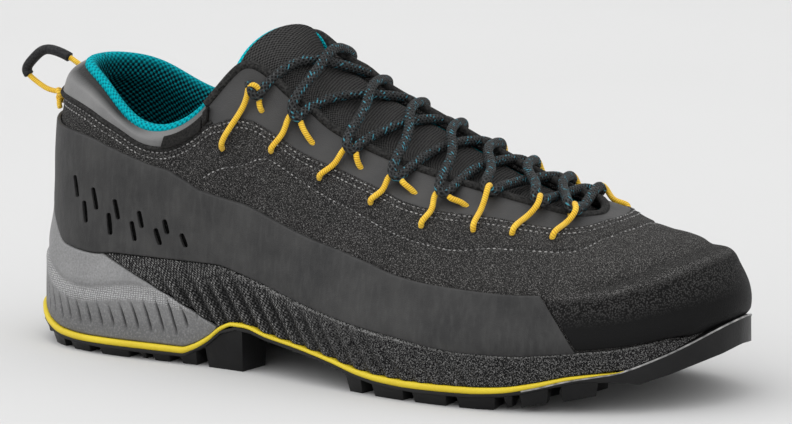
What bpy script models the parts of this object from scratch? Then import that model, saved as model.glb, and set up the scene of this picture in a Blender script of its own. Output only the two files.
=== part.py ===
"""Approach shoe for the right foot, built on a last from its length, widths and heights.

Metres, +Z up, +X from heel to toe, outer side of the foot at -Y.
The origin is on the ground under the heel. Run it with blender --background --python part.py.
"""

import bpy
import bmesh
import numpy as np

# Driving sizes of the last and the sole
LENGTH = 0.292
BALL_WIDTH = 0.105
HEEL_WIDTH = 0.0755
COLLAR_HEIGHT = 0.109
INSTEP_HEIGHT = 0.103
TOE_HEIGHT = 0.064
HEEL_STACK = 0.028
BALL_STACK = 0.018
CUP_RISE = 0.0265
SIDE_LEAN = 0.005
EDGE_RISE = 0.0043
HEEL_BEVEL = 0.0087
ARCH_RISE = 0.013
TOE_SPRING = 0.0215

# Thicknesses and clearances
WALL = 0.002
OVERLAY = 0.001
SHEET = 0.0016
STRIP = 0.0023
RIM = 0.0035
LIP = 0.0009
INSOLE = 0.003
PADDING = 0.0048
TONGUE = 0.0035
GAP = 0.0003
COVER_GAP = 0.00055
FOOT_TUCK = 0.003
LACE = 0.0042
CORD = 0.0021
TURN = 0.0044
LACE_LIFT = COVER_GAP + OVERLAY + 3 * GAP + LACE / 2
LACE_STACK = 0.75
TONGUE_MARGIN = 0.16
TOE_BAR = 0.32
LOOP_POINTS = 7
SLEEVE = 0.0060

# Heel loop: levels of its two ends on the heel, its bow as (back, up) from the higher end in shares of
# the collar height, and the stretch of it that the sleeve covers
PULL_ENDS = (0.90, 0.77)
PULL_BOW = (
    (0.047, 0.026),
    (0.098, 0.044),
    (0.150, 0.048),
    (0.205, 0.011),
    (0.233, -0.032),
    (0.194, -0.069),
    (0.143, -0.094),
)
PULL_SLEEVE = (0.115, 0.606)

# The ground point under the heel, as a share of the length from the heel's back
HEEL_REST = 0.137

# Stations run round the sole edge from the heel's back along the outer side, and back along the inner one.
# Each row: name, sole edge (along, side), mouth edge (along, side, size it follows, rise),
# then three points of the wall between them: share of the way in, share of the way up.
MOUTH_SIZES = {"collar": COLLAR_HEIGHT, "instep": INSTEP_HEIGHT, "toe": TOE_HEIGHT}
STATIONS = (
    ("heel back", 0.000, 0.000, 0.072, 0.000, "collar", 1.000, 0.324, 0.420, 0.362, 0.642, 0.490, 0.864),
    # Outer side, heel to toe
    ("heel corner", 0.031, -0.298, 0.084, -0.172, "collar", 0.991, 0.341, 0.425, 0.374, 0.625, 0.523, 0.838),
    ("heel side", 0.110, -0.470, 0.132, -0.298, "collar", 0.931, 0.344, 0.382, 0.372, 0.599, 0.523, 0.817),
    ("ankle", 0.212, -0.501, 0.209, -0.404, "collar", 0.812, 0.600, 0.366, 0.580, 0.564, 0.680, 0.827),
    ("quarter", 0.315, -0.501, 0.295, -0.371, "collar", 0.894, 0.383, 0.320, 0.375, 0.521, 0.540, 0.807),
    ("facing", 0.384, -0.508, 0.346, -0.291, "instep", 1.083, 0.204, 0.257, 0.267, 0.491, 0.534, 0.784),
    ("instep", 0.462, -0.503, 0.435, -0.241, "instep", 0.956, 0.153, 0.257, 0.282, 0.520, 0.584, 0.770),
    ("waist", 0.548, -0.498, 0.534, -0.192, "instep", 0.820, 0.111, 0.238, 0.236, 0.531, 0.524, 0.792),
    ("ball", 0.651, -0.498, 0.634, -0.162, "instep", 0.743, 0.090, 0.239, 0.210, 0.513, 0.505, 0.769),
    ("toe root", 0.760, -0.476, 0.729, -0.138, "toe", 1.102, 0.088, 0.236, 0.218, 0.526, 0.491, 0.778),
    ("toe side", 0.856, -0.386, 0.783, -0.081, "toe", 1.031, 0.097, 0.239, 0.208, 0.530, 0.415, 0.754),
    ("toe corner", 0.949, -0.186, 0.800, -0.010, "toe", 1.008, 0.086, 0.274, 0.154, 0.529, 0.338, 0.745),
    ("toe tip", 0.997, 0.076, 0.805, 0.057, "toe", 1.000, 0.076, 0.278, 0.136, 0.542, 0.268, 0.731),
    # Inner side, toe to heel
    ("toe corner", 0.979, 0.276, 0.800, 0.119, "toe", 1.008, 0.076, 0.267, 0.145, 0.507, 0.291, 0.707),
    ("toe side", 0.897, 0.443, 0.783, 0.186, "toe", 1.039, 0.086, 0.233, 0.186, 0.519, 0.395, 0.748),
    ("toe root", 0.781, 0.510, 0.729, 0.214, "toe", 1.094, 0.096, 0.230, 0.218, 0.507, 0.465, 0.763),
    ("ball", 0.668, 0.484, 0.634, 0.215, "instep", 0.782, 0.103, 0.224, 0.200, 0.480, 0.450, 0.752),
    ("waist", 0.548, 0.424, 0.534, 0.223, "instep", 0.913, 0.150, 0.221, 0.205, 0.490, 0.425, 0.772),
    ("instep", 0.455, 0.409, 0.435, 0.247, "instep", 1.049, 0.210, 0.225, 0.230, 0.460, 0.400, 0.742),
    ("facing", 0.377, 0.425, 0.349, 0.297, "instep", 1.146, 0.290, 0.237, 0.280, 0.455, 0.440, 0.760),
    ("quarter", 0.301, 0.450, 0.295, 0.384, "collar", 0.936, 0.780, 0.301, 0.690, 0.516, 0.720, 0.785),
    ("ankle", 0.205, 0.485, 0.205, 0.404, "collar", 0.849, 0.700, 0.374, 0.650, 0.560, 0.720, 0.791),
    ("heel side", 0.110, 0.464, 0.132, 0.311, "collar", 0.945, 0.378, 0.374, 0.409, 0.587, 0.575, 0.800),
    ("heel corner", 0.031, 0.298, 0.084, 0.172, "collar", 0.991, 0.341, 0.425, 0.374, 0.625, 0.523, 0.838),
)

# Top edge of the outsole: along, then shares of the heel bevel, arch rise and toe spring
SOLE_LINE = (
    (0.000, 1.00, 0.00, 0.00),
    (0.014, 0.85, 0.00, 0.00),
    (0.047, 0.31, 0.00, 0.00),
    (0.079, 0.07, 0.00, 0.00),
    (0.125, 0.00, 0.00, 0.00),
    (0.274, 0.00, 0.00, 0.00),
    (0.293, 0.00, 0.13, 0.00),
    (0.317, 0.00, 0.45, 0.00),
    (0.340, 0.00, 0.86, 0.00),
    (0.356, 0.00, 1.00, 0.00),
    (0.373, 0.00, 1.00, 0.00),
    (0.410, 0.00, 0.82, 0.00),
    (0.464, 0.00, 0.65, 0.00),
    (0.519, 0.00, 0.43, 0.00),
    (0.560, 0.00, 0.22, 0.00),
    (0.595, 0.00, 0.12, 0.00),
    (0.637, 0.00, 0.08, 0.00),
    (0.720, 0.00, 0.08, 0.02),
    (0.764, 0.00, 0.08, 0.07),
    (0.805, 0.00, 0.08, 0.19),
    (0.842, 0.00, 0.08, 0.33),
    (0.877, 0.00, 0.08, 0.42),
    (0.894, 0.00, 0.08, 0.46),
    (0.939, 0.00, 0.08, 0.71),
    (0.965, 0.00, 0.08, 0.91),
    (0.993, 0.00, 0.08, 1.16),
    (1.000, 0.00, 0.08, 1.22),
)

# Underside of the lugs: along, then shares of the heel bevel and toe spring
TREAD_LINE = (
    (0.000, 1.05, 0.00),
    (0.010, 0.80, 0.00),
    (0.027, 0.29, 0.00),
    (0.048, 0.04, 0.00),
    (0.062, 0.00, 0.00),
    (0.740, 0.00, 0.00),
    (0.777, 0.00, 0.06),
    (0.822, 0.00, 0.17),
    (0.855, 0.00, 0.25),
    (0.889, 0.00, 0.34),
    (0.912, 0.00, 0.46),
    (0.938, 0.00, 0.58),
    (0.966, 0.00, 0.75),
    (0.992, 0.00, 0.91),
    (1.000, 0.00, 1.00),
)

# Footbed: along, share of the heel's extra stack, share of the toe spring
BED_LINE = (
    (0.000, 1.00, 0.00),
    (0.340, 0.96, 0.00),
    (0.384, 0.80, 0.00),
    (0.462, 0.45, 0.00),
    (0.548, 0.15, 0.00),
    (0.650, 0.00, 0.00),
    (0.760, 0.00, 0.01),
    (0.825, 0.00, 0.07),
    (0.863, 0.00, 0.11),
    (0.897, 0.00, 0.15),
    (0.935, 0.00, 0.23),
    (0.962, 0.00, 0.30),
    (1.000, 0.00, 0.38),
)

# Sides of the midsole: along, lip above the footbed (share of the cup's rise), lip's lean and the two
# edges of the side step (shares of the lean), strip thickness, and how far the toe is tucked into the rim
SIDE_LINE = (
    (0.000, 1.000, 1.00, 0.06, 0.50, 0.90, 0.00),
    (0.018, 0.970, 1.00, 0.06, 0.50, 1.00, 0.00),
    (0.041, 0.750, 0.85, 0.06, 0.50, 1.00, 0.00),
    (0.075, 0.460, 0.68, 0.06, 0.50, 1.00, 0.00),
    (0.132, 0.400, 0.64, 0.08, 0.50, 1.00, 0.00),
    (0.170, 0.440, 0.62, 0.08, 0.46, 1.00, 0.00),
    (0.285, 0.440, 0.60, 0.20, 0.36, 1.00, 0.00),
    (0.324, 0.440, 0.56, 0.20, 0.30, 0.80, 0.00),
    (0.356, 0.390, 0.54, 0.18, 0.25, 0.55, 0.00),
    (0.394, 0.350, 0.52, 0.16, 0.22, 0.50, 0.00),
    (0.459, 0.270, 0.48, 0.14, 0.20, 0.50, 0.00),
    (0.515, 0.235, 0.44, 0.12, 0.18, 0.60, 0.00),
    (0.568, 0.197, 0.40, 0.10, 0.15, 0.85, 0.00),
    (0.620, 0.174, 0.38, 0.10, 0.15, 1.00, 0.00),
    (0.671, 0.121, 0.36, 0.10, 0.15, 1.00, 0.00),
    (0.717, 0.091, 0.34, 0.10, 0.15, 1.00, 0.00),
    (0.762, 0.085, 0.32, 0.10, 0.15, 0.90, 0.00),
    (0.803, 0.083, 0.30, 0.10, 0.15, 0.70, 0.00),
    (0.842, 0.087, 0.30, 0.10, 0.15, 0.45, 0.00),
    (0.880, 0.087, 0.30, 0.10, 0.15, 0.20, 0.00),
    (0.913, 0.098, 0.30, 0.10, 0.15, 0.20, 0.00),
    (0.947, 0.117, 0.32, 0.10, 0.15, 0.20, 0.00),
    (0.965, 0.120, 0.45, 0.10, 0.15, 0.20, 0.30),
    (0.985, 0.190, 0.70, 0.10, 0.15, 0.20, 0.85),
    (1.000, 0.240, 0.75, 0.10, 0.15, 0.20, 1.00),
)


def monotone(rows, column):
    """A smooth curve through one column of a table that never overshoots its rows."""
    knots = np.array([row[0] for row in rows])
    values = np.array([row[column] for row in rows])
    steps = np.diff(knots)
    slopes = np.diff(values) / steps
    tangents = np.zeros(len(knots))
    before = slopes[:-1]
    after = slopes[1:]
    same = before * after > 0
    tangents[1:-1][same] = 2 * before[same] * after[same] / (before + after)[same]
    tangents[0] = slopes[0]
    tangents[-1] = slopes[-1]

    def at(along):
        along = np.clip(along, knots[0], knots[-1])
        i = np.clip(np.searchsorted(knots, along) - 1, 0, len(steps) - 1)
        t = (along - knots[i]) / steps[i]
        start = values[i] * (1 + 2 * t) * (1 - t) ** 2 + tangents[i] * steps[i] * t * (1 - t) ** 2
        end = values[i + 1] * t * t * (3 - 2 * t) + tangents[i + 1] * steps[i] * t * t * (t - 1)
        return start + end

    return at


def cubic(knots, values, closed=False):
    """A natural or closed cubic spline through rows of values; a closed one has one knot more than rows."""
    knots = np.asarray(knots, float)
    values = np.asarray(values, float)
    if closed:
        values = np.vstack([values, values[:1]])
    steps = np.diff(knots)
    slopes = np.diff(values, axis=0) / steps[:, None]
    last = len(knots) - 1
    matrix = np.eye(last + 1)
    right = np.zeros_like(values)
    for i in range(1, last):
        matrix[i, i - 1 : i + 2] = steps[i - 1], 2 * (steps[i - 1] + steps[i]), steps[i]
        right[i] = 6 * (slopes[i] - slopes[i - 1])
    if closed:
        matrix[0, [0, 1, last - 1]] = 2 * (steps[-1] + steps[0]), steps[0], steps[-1]
        right[0] = 6 * (slopes[0] - slopes[-1])
        matrix[last, [0, last]] = -1, 1
    bend = np.linalg.solve(matrix, right)

    def at(t):
        t = np.asarray(t, float)
        if closed:
            t = knots[0] + (t - knots[0]) % (knots[-1] - knots[0])
        i = np.clip(np.searchsorted(knots, t) - 1, 0, last - 1)
        step = steps[i][..., None]
        b = (t - knots[i])[..., None]
        a = step - b
        return (
            (bend[i] * a**3 + bend[i + 1] * b**3) / (6 * step)
            + (values[i] / step - bend[i] * step / 6) * a
            + (values[i + 1] / step - bend[i + 1] * step / 6) * b
        )

    return at


def width_at(along):
    """Width of the last there: the heel's behind the waist, the ball's in front of it."""
    t = np.clip((np.asarray(along) - 0.33) / 0.32, 0, 1)
    return HEEL_WIDTH + (BALL_WIDTH - HEEL_WIDTH) * t * t * (3 - 2 * t)


def edge_rows():
    """The sole edge at each station, in metres from the heel's back."""
    return np.array([(row[1] * LENGTH, row[2] * width_at(row[1])) for row in STATIONS])


def station_knots():
    """Distance round the sole edge at each station, with the full round last."""
    corners = edge_rows()
    ways = np.linalg.norm(np.diff(np.vstack([corners, corners[:1]]), axis=0), axis=1)
    return np.concatenate([[0.0], np.cumsum(ways)])


COUNT = len(STATIONS)
TOE_TIP = COUNT // 2
KNOTS = station_knots()
EDGE = cubic(KNOTS, edge_rows(), closed=True)
MOUTH = cubic(
    KNOTS,
    [(row[3] * LENGTH, row[4] * width_at(row[3]), MOUTH_SIZES[row[5]] * row[6]) for row in STATIONS],
    closed=True,
)
WALL_SHARES = cubic(KNOTS, [row[7:] for row in STATIONS], closed=True)


def distance(stations):
    """Distance round the edge at a station number, which may have a fraction or be negative."""
    turns, rest = np.divmod(np.asarray(stations, float), COUNT)
    return turns * KNOTS[-1] + np.interp(rest, np.arange(COUNT + 1), KNOTS)


def height_of(rows, base, sizes):
    """A height line along the shoe: a base plus each named size times its column."""
    curves = [monotone(rows, 1 + i) for i in range(len(sizes))]

    def at(along):
        return base + sum(size * curve(along) for size, curve in zip(sizes, curves))

    return at


sole_top = height_of(SOLE_LINE, EDGE_RISE, (HEEL_BEVEL, ARCH_RISE, TOE_SPRING))
tread_bottom = height_of(TREAD_LINE, 0.0, (HEEL_BEVEL, TOE_SPRING))
footbed = height_of(BED_LINE, BALL_STACK, (HEEL_STACK - BALL_STACK, TOE_SPRING))
cup_share = monotone(SIDE_LINE, 1)
lean_share = monotone(SIDE_LINE, 2)
step_low = monotone(SIDE_LINE, 3)
step_high = monotone(SIDE_LINE, 4)
strip_share = monotone(SIDE_LINE, 5)
toe_tuck = monotone(SIDE_LINE, 6)

# Points round the sole edge, and levels up the upper
ROUND = 72
UPPER_LEVELS = (0.0, 0.05, 0.12, 0.24, 0.38, 0.53, 0.69, 0.85, 1.0)

# The coloured strip ends here on both sides, and the smooth toe of the outsole starts here
STRIP_END = 0.884
SMOOTH_TOE = (0.884, 0.900)
POCKET_TOE = (0.905, 0.950)
POCKET_SHEET = 0.004

# Lugs: draft of their sides, distance in from the edge, depth rooted in the sheet, reach of the heel pair
LUG_DRAFT = 0.0008
LUG_INSET = 0.0009
LUG_ROOT = 0.0008
HEEL_LUG = 0.012

# The lug that closes the heel in front starts here
BREAST_LUG = 0.312

# Edge lugs, both sides alike: start and end along the shoe, reach inwards as a share of the ball width
EDGE_LUGS = (
    (0.051, 0.080, 0.115),
    (0.095, 0.130, 0.115),
    (0.147, 0.195, 0.115),
    (0.209, 0.219, 0.115),
    (0.230, 0.257, 0.115),
    (0.272, 0.298, 0.125),
    (BREAST_LUG, 0.370, 0.170),
    (0.540, 0.565, 0.140),
    (0.582, 0.630, 0.140),
    (0.643, 0.692, 0.140),
    (0.706, 0.757, 0.140),
    (0.767, 0.778, 0.140),
    (0.787, 0.822, 0.140),
    (0.836, 0.878, 0.140),
)

# Rows of lugs under the sole: along, places across (-1 outer edge, 1 inner edge), side as a share of
# the ball width, and the turn in degrees; the middle ones stay square to the shoe and have a flat face
CENTRE_LUGS = (
    (0.085, (-0.33, 0.33), 0.100, 12),
    (0.137, (0.0,), 0.120, 0),
    (0.160, (-0.40, 0.40), 0.120, 12),
    (0.217, (0.0,), 0.120, 0),
    (0.240, (-0.40, 0.40), 0.120, 12),
    (0.580, (-0.35, 0.35), 0.130, 12),
    (0.640, (-0.42, 0.0, 0.42), 0.130, 12),
    (0.700, (-0.42, 0.0, 0.42), 0.130, 12),
    (0.760, (-0.42, 0.0, 0.42), 0.130, 12),
    (0.820, (-0.36, 0.36), 0.120, 12),
)

# Joint between heel foam and frame: its front, its height at the heel's back over the heel stack as a
# share of the cup's rise, and its height at the front over the edge as a share of the arch's rise
FOAM_BEND = 0.060
FOAM_FRONT = 0.341
FOAM_HIGH = 1.117
FOAM_LOW = 0.808

INSOLE_SIDE = 0.0012

# Rows of the tongue: outer station (the inner one mirrors it) and how far its middle stands over the
# throat, as a share of the tongue's rise
TONGUE_RISE = 0.015
TONGUE_ROWS = (
    (4.85, 1.00),
    (5.10, 0.87),
    (5.50, 0.53),
    (6.00, 0.27),
    (6.70, 0.17),
    (7.50, 0.13),
    (8.30, 0.10),
    (9.10, 0.07),
    (9.90, -0.10),
)
TONGUE_COLUMNS = 11
TONGUE_TUCK = 0.008
TONGUE_FRONT = 10.5


# Edges of the pieces that cover the upper, as station and level on it
CAP_LOW = (
    (9.98, 0.085),
    (10.60, 0.085),
    (11.30, 0.095),
    (12.00, 0.118),
    (12.70, 0.105),
    (13.40, 0.085),
    (14.02, 0.085),
)
CAP_HIGH = (
    (9.52, 0.375),
    (9.97, 0.440),
    (10.65, 0.485),
    (11.30, 0.495),
    (12.00, 0.470),
    (12.70, 0.495),
    (13.35, 0.485),
    (14.03, 0.440),
    (14.48, 0.375),
)
WRAP_FRONT = (9.91, 9.45)
WRAP_FOOT = 0.022
WRAP_HIGH = (
    (0.00, 0.700),
    (1.15, 0.700),
    (1.75, 0.720),
    (2.32, 0.760),
    (2.91, 0.795),
    (3.37, 0.765),
    (3.69, 0.670),
    (3.99, 0.560),
    (4.79, 0.440),
    (5.47, 0.410),
    (6.11, 0.420),
    (6.66, 0.430),
    (7.20, 0.410),
    (7.66, 0.380),
    (8.12, 0.370),
    (8.97, 0.370),
    (9.60, 0.375),
)
COVER_TOP = 0.995
COLLAR_END = 4.12
COLLAR_LOW = (
    (0.00, 0.810),
    (0.60, 0.815),
    (1.51, 0.840),
    (2.13, 0.860),
    (2.75, 0.895),
    (3.17, 0.890),
    (3.42, 0.885),
    (3.67, 0.885),
    (4.20, 0.880),
)
EYESTAY_END = 4.30
EYESTAY_LOW = (
    (4.20, 0.860),
    (4.69, 0.810),
    (5.10, 0.785),
    (5.45, 0.775),
    (5.83, 0.780),
    (6.20, 0.800),
    (6.59, 0.815),
    (6.86, 0.810),
    (7.21, 0.795),
    (7.59, 0.770),
    (7.82, 0.770),
    (8.20, 0.785),
    (8.79, 0.815),
    (9.54, 0.820),
    (10.13, 0.850),
    (11.11, 0.890),
    (12.00, 0.900),
)
# Where the lace turns on the cord loops, heel to toe: station and level, outer side then inner side
OUTER_TURNS = (
    (5.14, 0.96),
    (5.75, 0.96),
    (6.45, 0.97),
    (7.18, 0.96),
    (7.85, 0.96),
    (8.52, 0.97),
    (9.25, 0.97),
    (10.05, 0.96),
)
INNER_TURNS = (
    (18.85, 0.97),
    (18.15, 0.97),
    (17.45, 0.97),
    (16.80, 0.97),
    (16.15, 0.97),
    (15.46, 0.97),
    (14.75, 0.97),
    (13.95, 0.96),
)
# Where each cord loop comes out of the upper: station and level, outer side then inner side
OUTER_FEET = (
    (4.42, 0.710),
    (5.38, 0.700),
    (6.20, 0.730),
    (7.00, 0.730),
    (7.72, 0.690),
    (8.42, 0.740),
    (8.99, 0.760),
    (9.62, 0.760),
)
INNER_FEET = (
    (19.45, 0.730),
    (18.55, 0.710),
    (17.80, 0.730),
    (17.05, 0.730),
    (16.30, 0.710),
    (15.60, 0.740),
    (15.02, 0.760),
    (14.38, 0.760),
)
LABEL = ((3.40, 0.905), (4.05, 0.905), (3.45, 0.985), (4.10, 0.975))

# Collar lining: its end, its profile over the rim as (rise, way out) and down inside as (depth, thickness)
LINING_END = 4.55
ROLL = ((0.0006, 0.0004), (0.0024, 0.0009), (0.0037, -0.0012), (0.0036, -0.0040))
INSIDE = ((0.002, 1.00), (0.016, 1.00), (0.036, 0.30))

tongue_bulge = monotone(TONGUE_ROWS, 1)


def blend(along, ends):
    t = np.clip((along - ends[0]) / (ends[1] - ends[0]), 0, 1)
    return t * t * (3 - 2 * t)


def sheet_bottom(along):
    """Underside of the rubber between the lugs, and of the smooth toe."""
    part = blend(along, SMOOTH_TOE)
    return (1 - part) * (sole_top(along) - SHEET) + part * tread_bottom(along)


def pocket_depth(along):
    """How far the outsole's rim stands over its floor at the toe."""
    depth = sole_top(along) - sheet_bottom(along) - POCKET_SHEET
    return np.maximum(depth, 0) * blend(along, POCKET_TOE)


def strip_thickness(along):
    return STRIP * strip_share(along)


def midsole_bottom(along):
    cover = (strip_thickness(along) + GAP) * (1 - blend(along, (STRIP_END + 0.004, 0.905)))
    return sole_top(along) + GAP + cover


def lip_height(along):
    return np.maximum(footbed(along) + cup_share(along) * CUP_RISE, midsole_bottom(along) + LIP)


def lip_lean(along):
    return lean_share(along) * SIDE_LEAN


def edge_frame(stations):
    """Sole edge points, their inward directions, and their places along the shoe."""
    t = distance(stations)
    points = EDGE(t)
    ahead = EDGE(t + 1e-4) - EDGE(t - 1e-4)
    ahead /= np.linalg.norm(ahead, axis=1)[:, None]
    inward = np.stack([-ahead[:, 1], ahead[:, 0]], axis=1)
    return points, inward, np.clip(points[:, 0] / LENGTH, 0, 1)


def ring(stations, inset, height):
    """A loop round the sole: inset and height are numbers or functions of the place along."""
    points, inward, along = edge_frame(stations)
    inset = inset(along) if callable(inset) else inset
    height = height(along) if callable(height) else height
    plan = points + inward * np.reshape(inset, (-1, 1)) if np.ndim(inset) else points + inward * inset
    return np.column_stack([plan, np.broadcast_to(height, len(plan))])


def placed(points):
    """Moves points from the heel's back to the part's frame, whose origin is under the heel."""
    return np.asarray(points) - (HEEL_REST * LENGTH, 0, 0)


def section_points(stations):
    """Six points of the upper's outer face at each station: foot, lip, three on the wall, mouth."""
    points, inward, along = edge_frame(stations)
    t = distance(stations)
    mouth = MOUTH(t)
    shares = WALL_SHARES(t)
    bed = footbed(along)
    lip = lip_height(along)
    hold = lip_lean(along) + LIP + GAP
    rows = [
        np.column_stack([points + inward * (hold + FOOT_TUCK)[:, None], bed + GAP]),
        np.column_stack([points + inward * hold[:, None], lip]),
    ]
    for i in (0, 2, 4):
        plan = points + (mouth[:, :2] - points) * shares[:, i, None]
        rows.append(np.column_stack([plan, bed + (mouth[:, 2] - bed) * shares[:, i + 1]]))
    rows.append(mouth)
    return np.stack(rows, axis=1)


def upper_at(stations, levels):
    """Outer face of the upper, one row for each station: level 0 is its foot and level 1 its mouth."""
    levels = np.broadcast_to(levels, (len(stations), np.shape(levels)[-1]))
    rows = []
    for points, at in zip(section_points(stations), levels):
        ways = np.linalg.norm(np.diff(points, axis=0), axis=1)
        knots = np.concatenate([[0.0], np.cumsum(ways)])
        rows.append(cubic(knots / knots[-1], points)(at))
    return np.array(rows)


def upper_normals(stations, levels):
    """Outward directions of the upper's outer face."""
    levels = np.broadcast_to(levels, (len(stations), np.shape(levels)[-1]))
    round_way = upper_at(stations + 0.02, levels) - upper_at(stations - 0.02, levels)
    up_way = upper_at(stations, levels + 0.005) - upper_at(stations, levels - 0.005)
    normals = np.cross(round_way, up_way)
    return normals / np.linalg.norm(normals, axis=2)[..., None]


def level_of(stations, heights):
    """The level at which each station's section reaches a height."""
    levels = np.linspace(0, 1, 81)
    rises = upper_at(stations, levels)[..., 2]
    return np.array([np.interp(height, rise, levels) for height, rise in zip(heights, rises)])


def depth_level(stations, depth):
    """The level that lies a given way below the mouth, measured along the section."""
    levels = np.linspace(0, 1, 61)
    points = upper_at(stations, levels)
    ways = np.linalg.norm(np.diff(points, axis=1), axis=2)
    left = np.concatenate([np.cumsum(ways[:, ::-1], axis=1)[:, ::-1], np.zeros((len(stations), 1))], axis=1)
    return np.array([np.interp(-depth, -row, levels) for row in left])


def material(name, colour, roughness, metallic=0.0):
    made = bpy.data.materials.new(name)
    made.use_nodes = True
    shader = made.node_tree.nodes["Principled BSDF"]
    shader.inputs["Base Color"].default_value = (*colour, 1.0)
    shader.inputs["Roughness"].default_value = roughness
    shader.inputs["Metallic"].default_value = metallic
    made.diffuse_color = (*colour, 1.0)
    return made


def add_mesh(name, points, faces, made_of, collection, smooth=True):
    """A mesh object with its faces turned outwards where it is closed."""
    mesh = bpy.data.meshes.new(name)
    mesh.from_pydata([tuple(point) for point in placed(points)], [], [tuple(face) for face in faces])
    mesh.update()
    if made_of:
        mesh.materials.append(made_of)
    if smooth:
        mesh.shade_smooth()
        mesh.set_sharp_from_angle(angle=np.radians(40))
    obj = bpy.data.objects.new(name, mesh)
    collection.objects.link(obj)
    return obj


def turn_out(obj):
    """Makes every face of a closed mesh point outwards."""
    work = bmesh.new()
    work.from_mesh(obj.data)
    bmesh.ops.recalc_face_normals(work, faces=work.faces)
    work.to_mesh(obj.data)
    work.free()
    return obj


def side_faces(rows, columns, closed):
    """Quads between neighbouring rows of a grid; closed joins the last column to the first."""
    faces = []
    for row in range(rows - 1):
        for column in range(columns if closed else columns - 1):
            after = (column + 1) % columns
            low = row * columns
            faces.append((low + column, low + after, low + columns + after, low + columns + column))
    return faces


def cap_faces(first, count):
    """Closes a loop that starts at the heel by joining each point to the one across the shoe."""
    faces = [(first, first + 1, first + count - 1)]
    for i in range(1, (count - 1) // 2):
        faces.append((first + i, first + i + 1, first + count - i - 1))
        faces.append((first + i, first + count - i - 1, first + count - i))
    if count % 2 == 0:
        middle = count // 2
        faces.append((first + middle - 1, first + middle, first + middle + 1))
    return faces


def loft(name, rings, made_of, collection):
    """A closed solid through loops of equal count, capped across the shoe at both ends."""
    count = len(rings[0])
    faces = side_faces(len(rings), count, closed=True)
    faces += cap_faces(0, count)
    faces += cap_faces(count * (len(rings) - 1), count)
    return turn_out(add_mesh(name, np.vstack(rings), faces, made_of, collection))


def solidify(obj, thickness):
    shell = obj.modifiers.new("wall", "SOLIDIFY")
    shell.thickness = thickness
    shell.offset = -1
    shell.use_even_offset = True
    shell.use_rim = True
    return obj


def boolean(obj, other, operation, crossing=False):
    """Joins or cuts by another object; crossing says that pieces of one mesh may run through each other."""
    cut = obj.modifiers.new(operation.lower(), "BOOLEAN")
    cut.operation = operation
    cut.solver = "EXACT"
    cut.use_self = crossing
    cut.object = other
    return obj


def cutter(obj):
    obj.hide_render = True
    obj.display_type = "WIRE"
    return obj


def full_round():
    return np.arange(ROUND) * COUNT / ROUND


def station_at(along, side):
    """The station where the edge passes a place along the shoe, on the outer (-1) or the inner (1) side."""
    stations = np.linspace(0, TOE_TIP, 400) * -side
    return np.interp(along, edge_frame(stations)[0][:, 0] / LENGTH, stations)


def side_at(along, share):
    """Point across the shoe: share runs from -1 at the outer edge to 1 at the inner edge."""
    outer = EDGE(distance(station_at(along, -1)))[..., 1]
    inner = EDGE(distance(station_at(along, 1)))[..., 1]
    return (outer + inner) / 2 + (inner - outer) / 2 * share


def outsole_base(made_of, collection):
    """Rubber sheet that rises into a rim round the toe."""
    stations = full_round()
    rings = [
        ring(stations, RIM + 0.0012, sheet_bottom),
        ring(stations, 0.0012, sheet_bottom),
        ring(stations, 0.0, lambda along: sheet_bottom(along) + SHEET / 3),
        ring(stations, 0.0002, sole_top),
        ring(stations, RIM, sole_top),
        ring(stations, RIM + 0.0012, lambda along: sole_top(along) - pocket_depth(along)),
    ]
    return loft("outsole", rings, made_of, collection)


def block(low, high):
    """Points and faces of a block between two outlines of equal count."""
    count = len(low)
    faces = side_faces(2, count, closed=True)
    faces += [tuple(range(count))[::-1], tuple(range(count, 2 * count))]
    return np.vstack([low, high]), faces


def strip_block(low, high):
    """A block whose two outlines each run out along one side and back along the other."""
    count = len(low)
    points, faces = block(low, high)
    faces = faces[:-2]
    for first in (0, count):
        for i in range(count // 2 - 1):
            faces.append((first + i, first + i + 1, first + count - 2 - i))
            faces.append((first + i, first + count - 2 - i, first + count - 1 - i))
    return points, faces


def sheet_under(plan):
    """Height of the sheet's underside at points in plan, read between its two edges."""
    loop = ring(full_round(), RIM + 0.0012, sheet_bottom)
    middle = ROUND // 2
    rows = []
    for half in (loop[: middle + 1], loop[[0, *range(ROUND - 1, middle - 1, -1)]]):
        rows.append([np.interp(plan[:, 0], half[:, 0], half[:, i]) for i in (1, 2)])
    (outer_y, outer_z), (inner_y, inner_z) = rows
    share = np.clip((plan[:, 1] - outer_y) / np.maximum(inner_y - outer_y, GAP), 0, 1)
    return outer_z + (inner_z - outer_z) * share


def edge_lug(first, last, depth, points=3):
    """A lug along the edge between two stations, which reaches inwards by its depth."""
    stations = np.linspace(first, last, points)
    loops = []
    for draft in (LUG_DRAFT, 0):
        outside = ring(stations, LUG_INSET + draft, tread_bottom)
        inside = ring(stations, depth - draft, tread_bottom)
        inside[:, 2] = tread_bottom(np.clip(inside[:, 0] / LENGTH, 0, 1))
        loop = np.vstack([outside, inside[::-1]])
        middle = loop.mean(axis=0)
        loop[:, :2] += (middle - loop)[:, :2] * draft * 2 / np.linalg.norm(loop[0] - loop[points - 1])
        if draft == 0:
            loop[:points, 2] = ring(stations, 0, sheet_bottom)[:, 2] + LUG_ROOT
            loop[points:, 2] = sheet_under(loop[points:]) + LUG_ROOT
        loops.append(loop)
    return strip_block(*loops)


def centre_lug(along, share, size, turn):
    """A four-sided lug under the sole, turned by its angle."""
    place = np.array([along * LENGTH, side_at(along, share)])
    angles = np.radians([45, 135, 225, 315]) + turn
    corners = np.column_stack([np.cos(angles), np.sin(angles)]) / np.sqrt(2)
    under = place + corners * (size - LUG_DRAFT)
    root = place + corners * size
    low = np.column_stack([under, np.full(4, tread_bottom(along))])
    return block(low, np.column_stack([root, sheet_under(root) + LUG_ROOT]))


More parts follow.
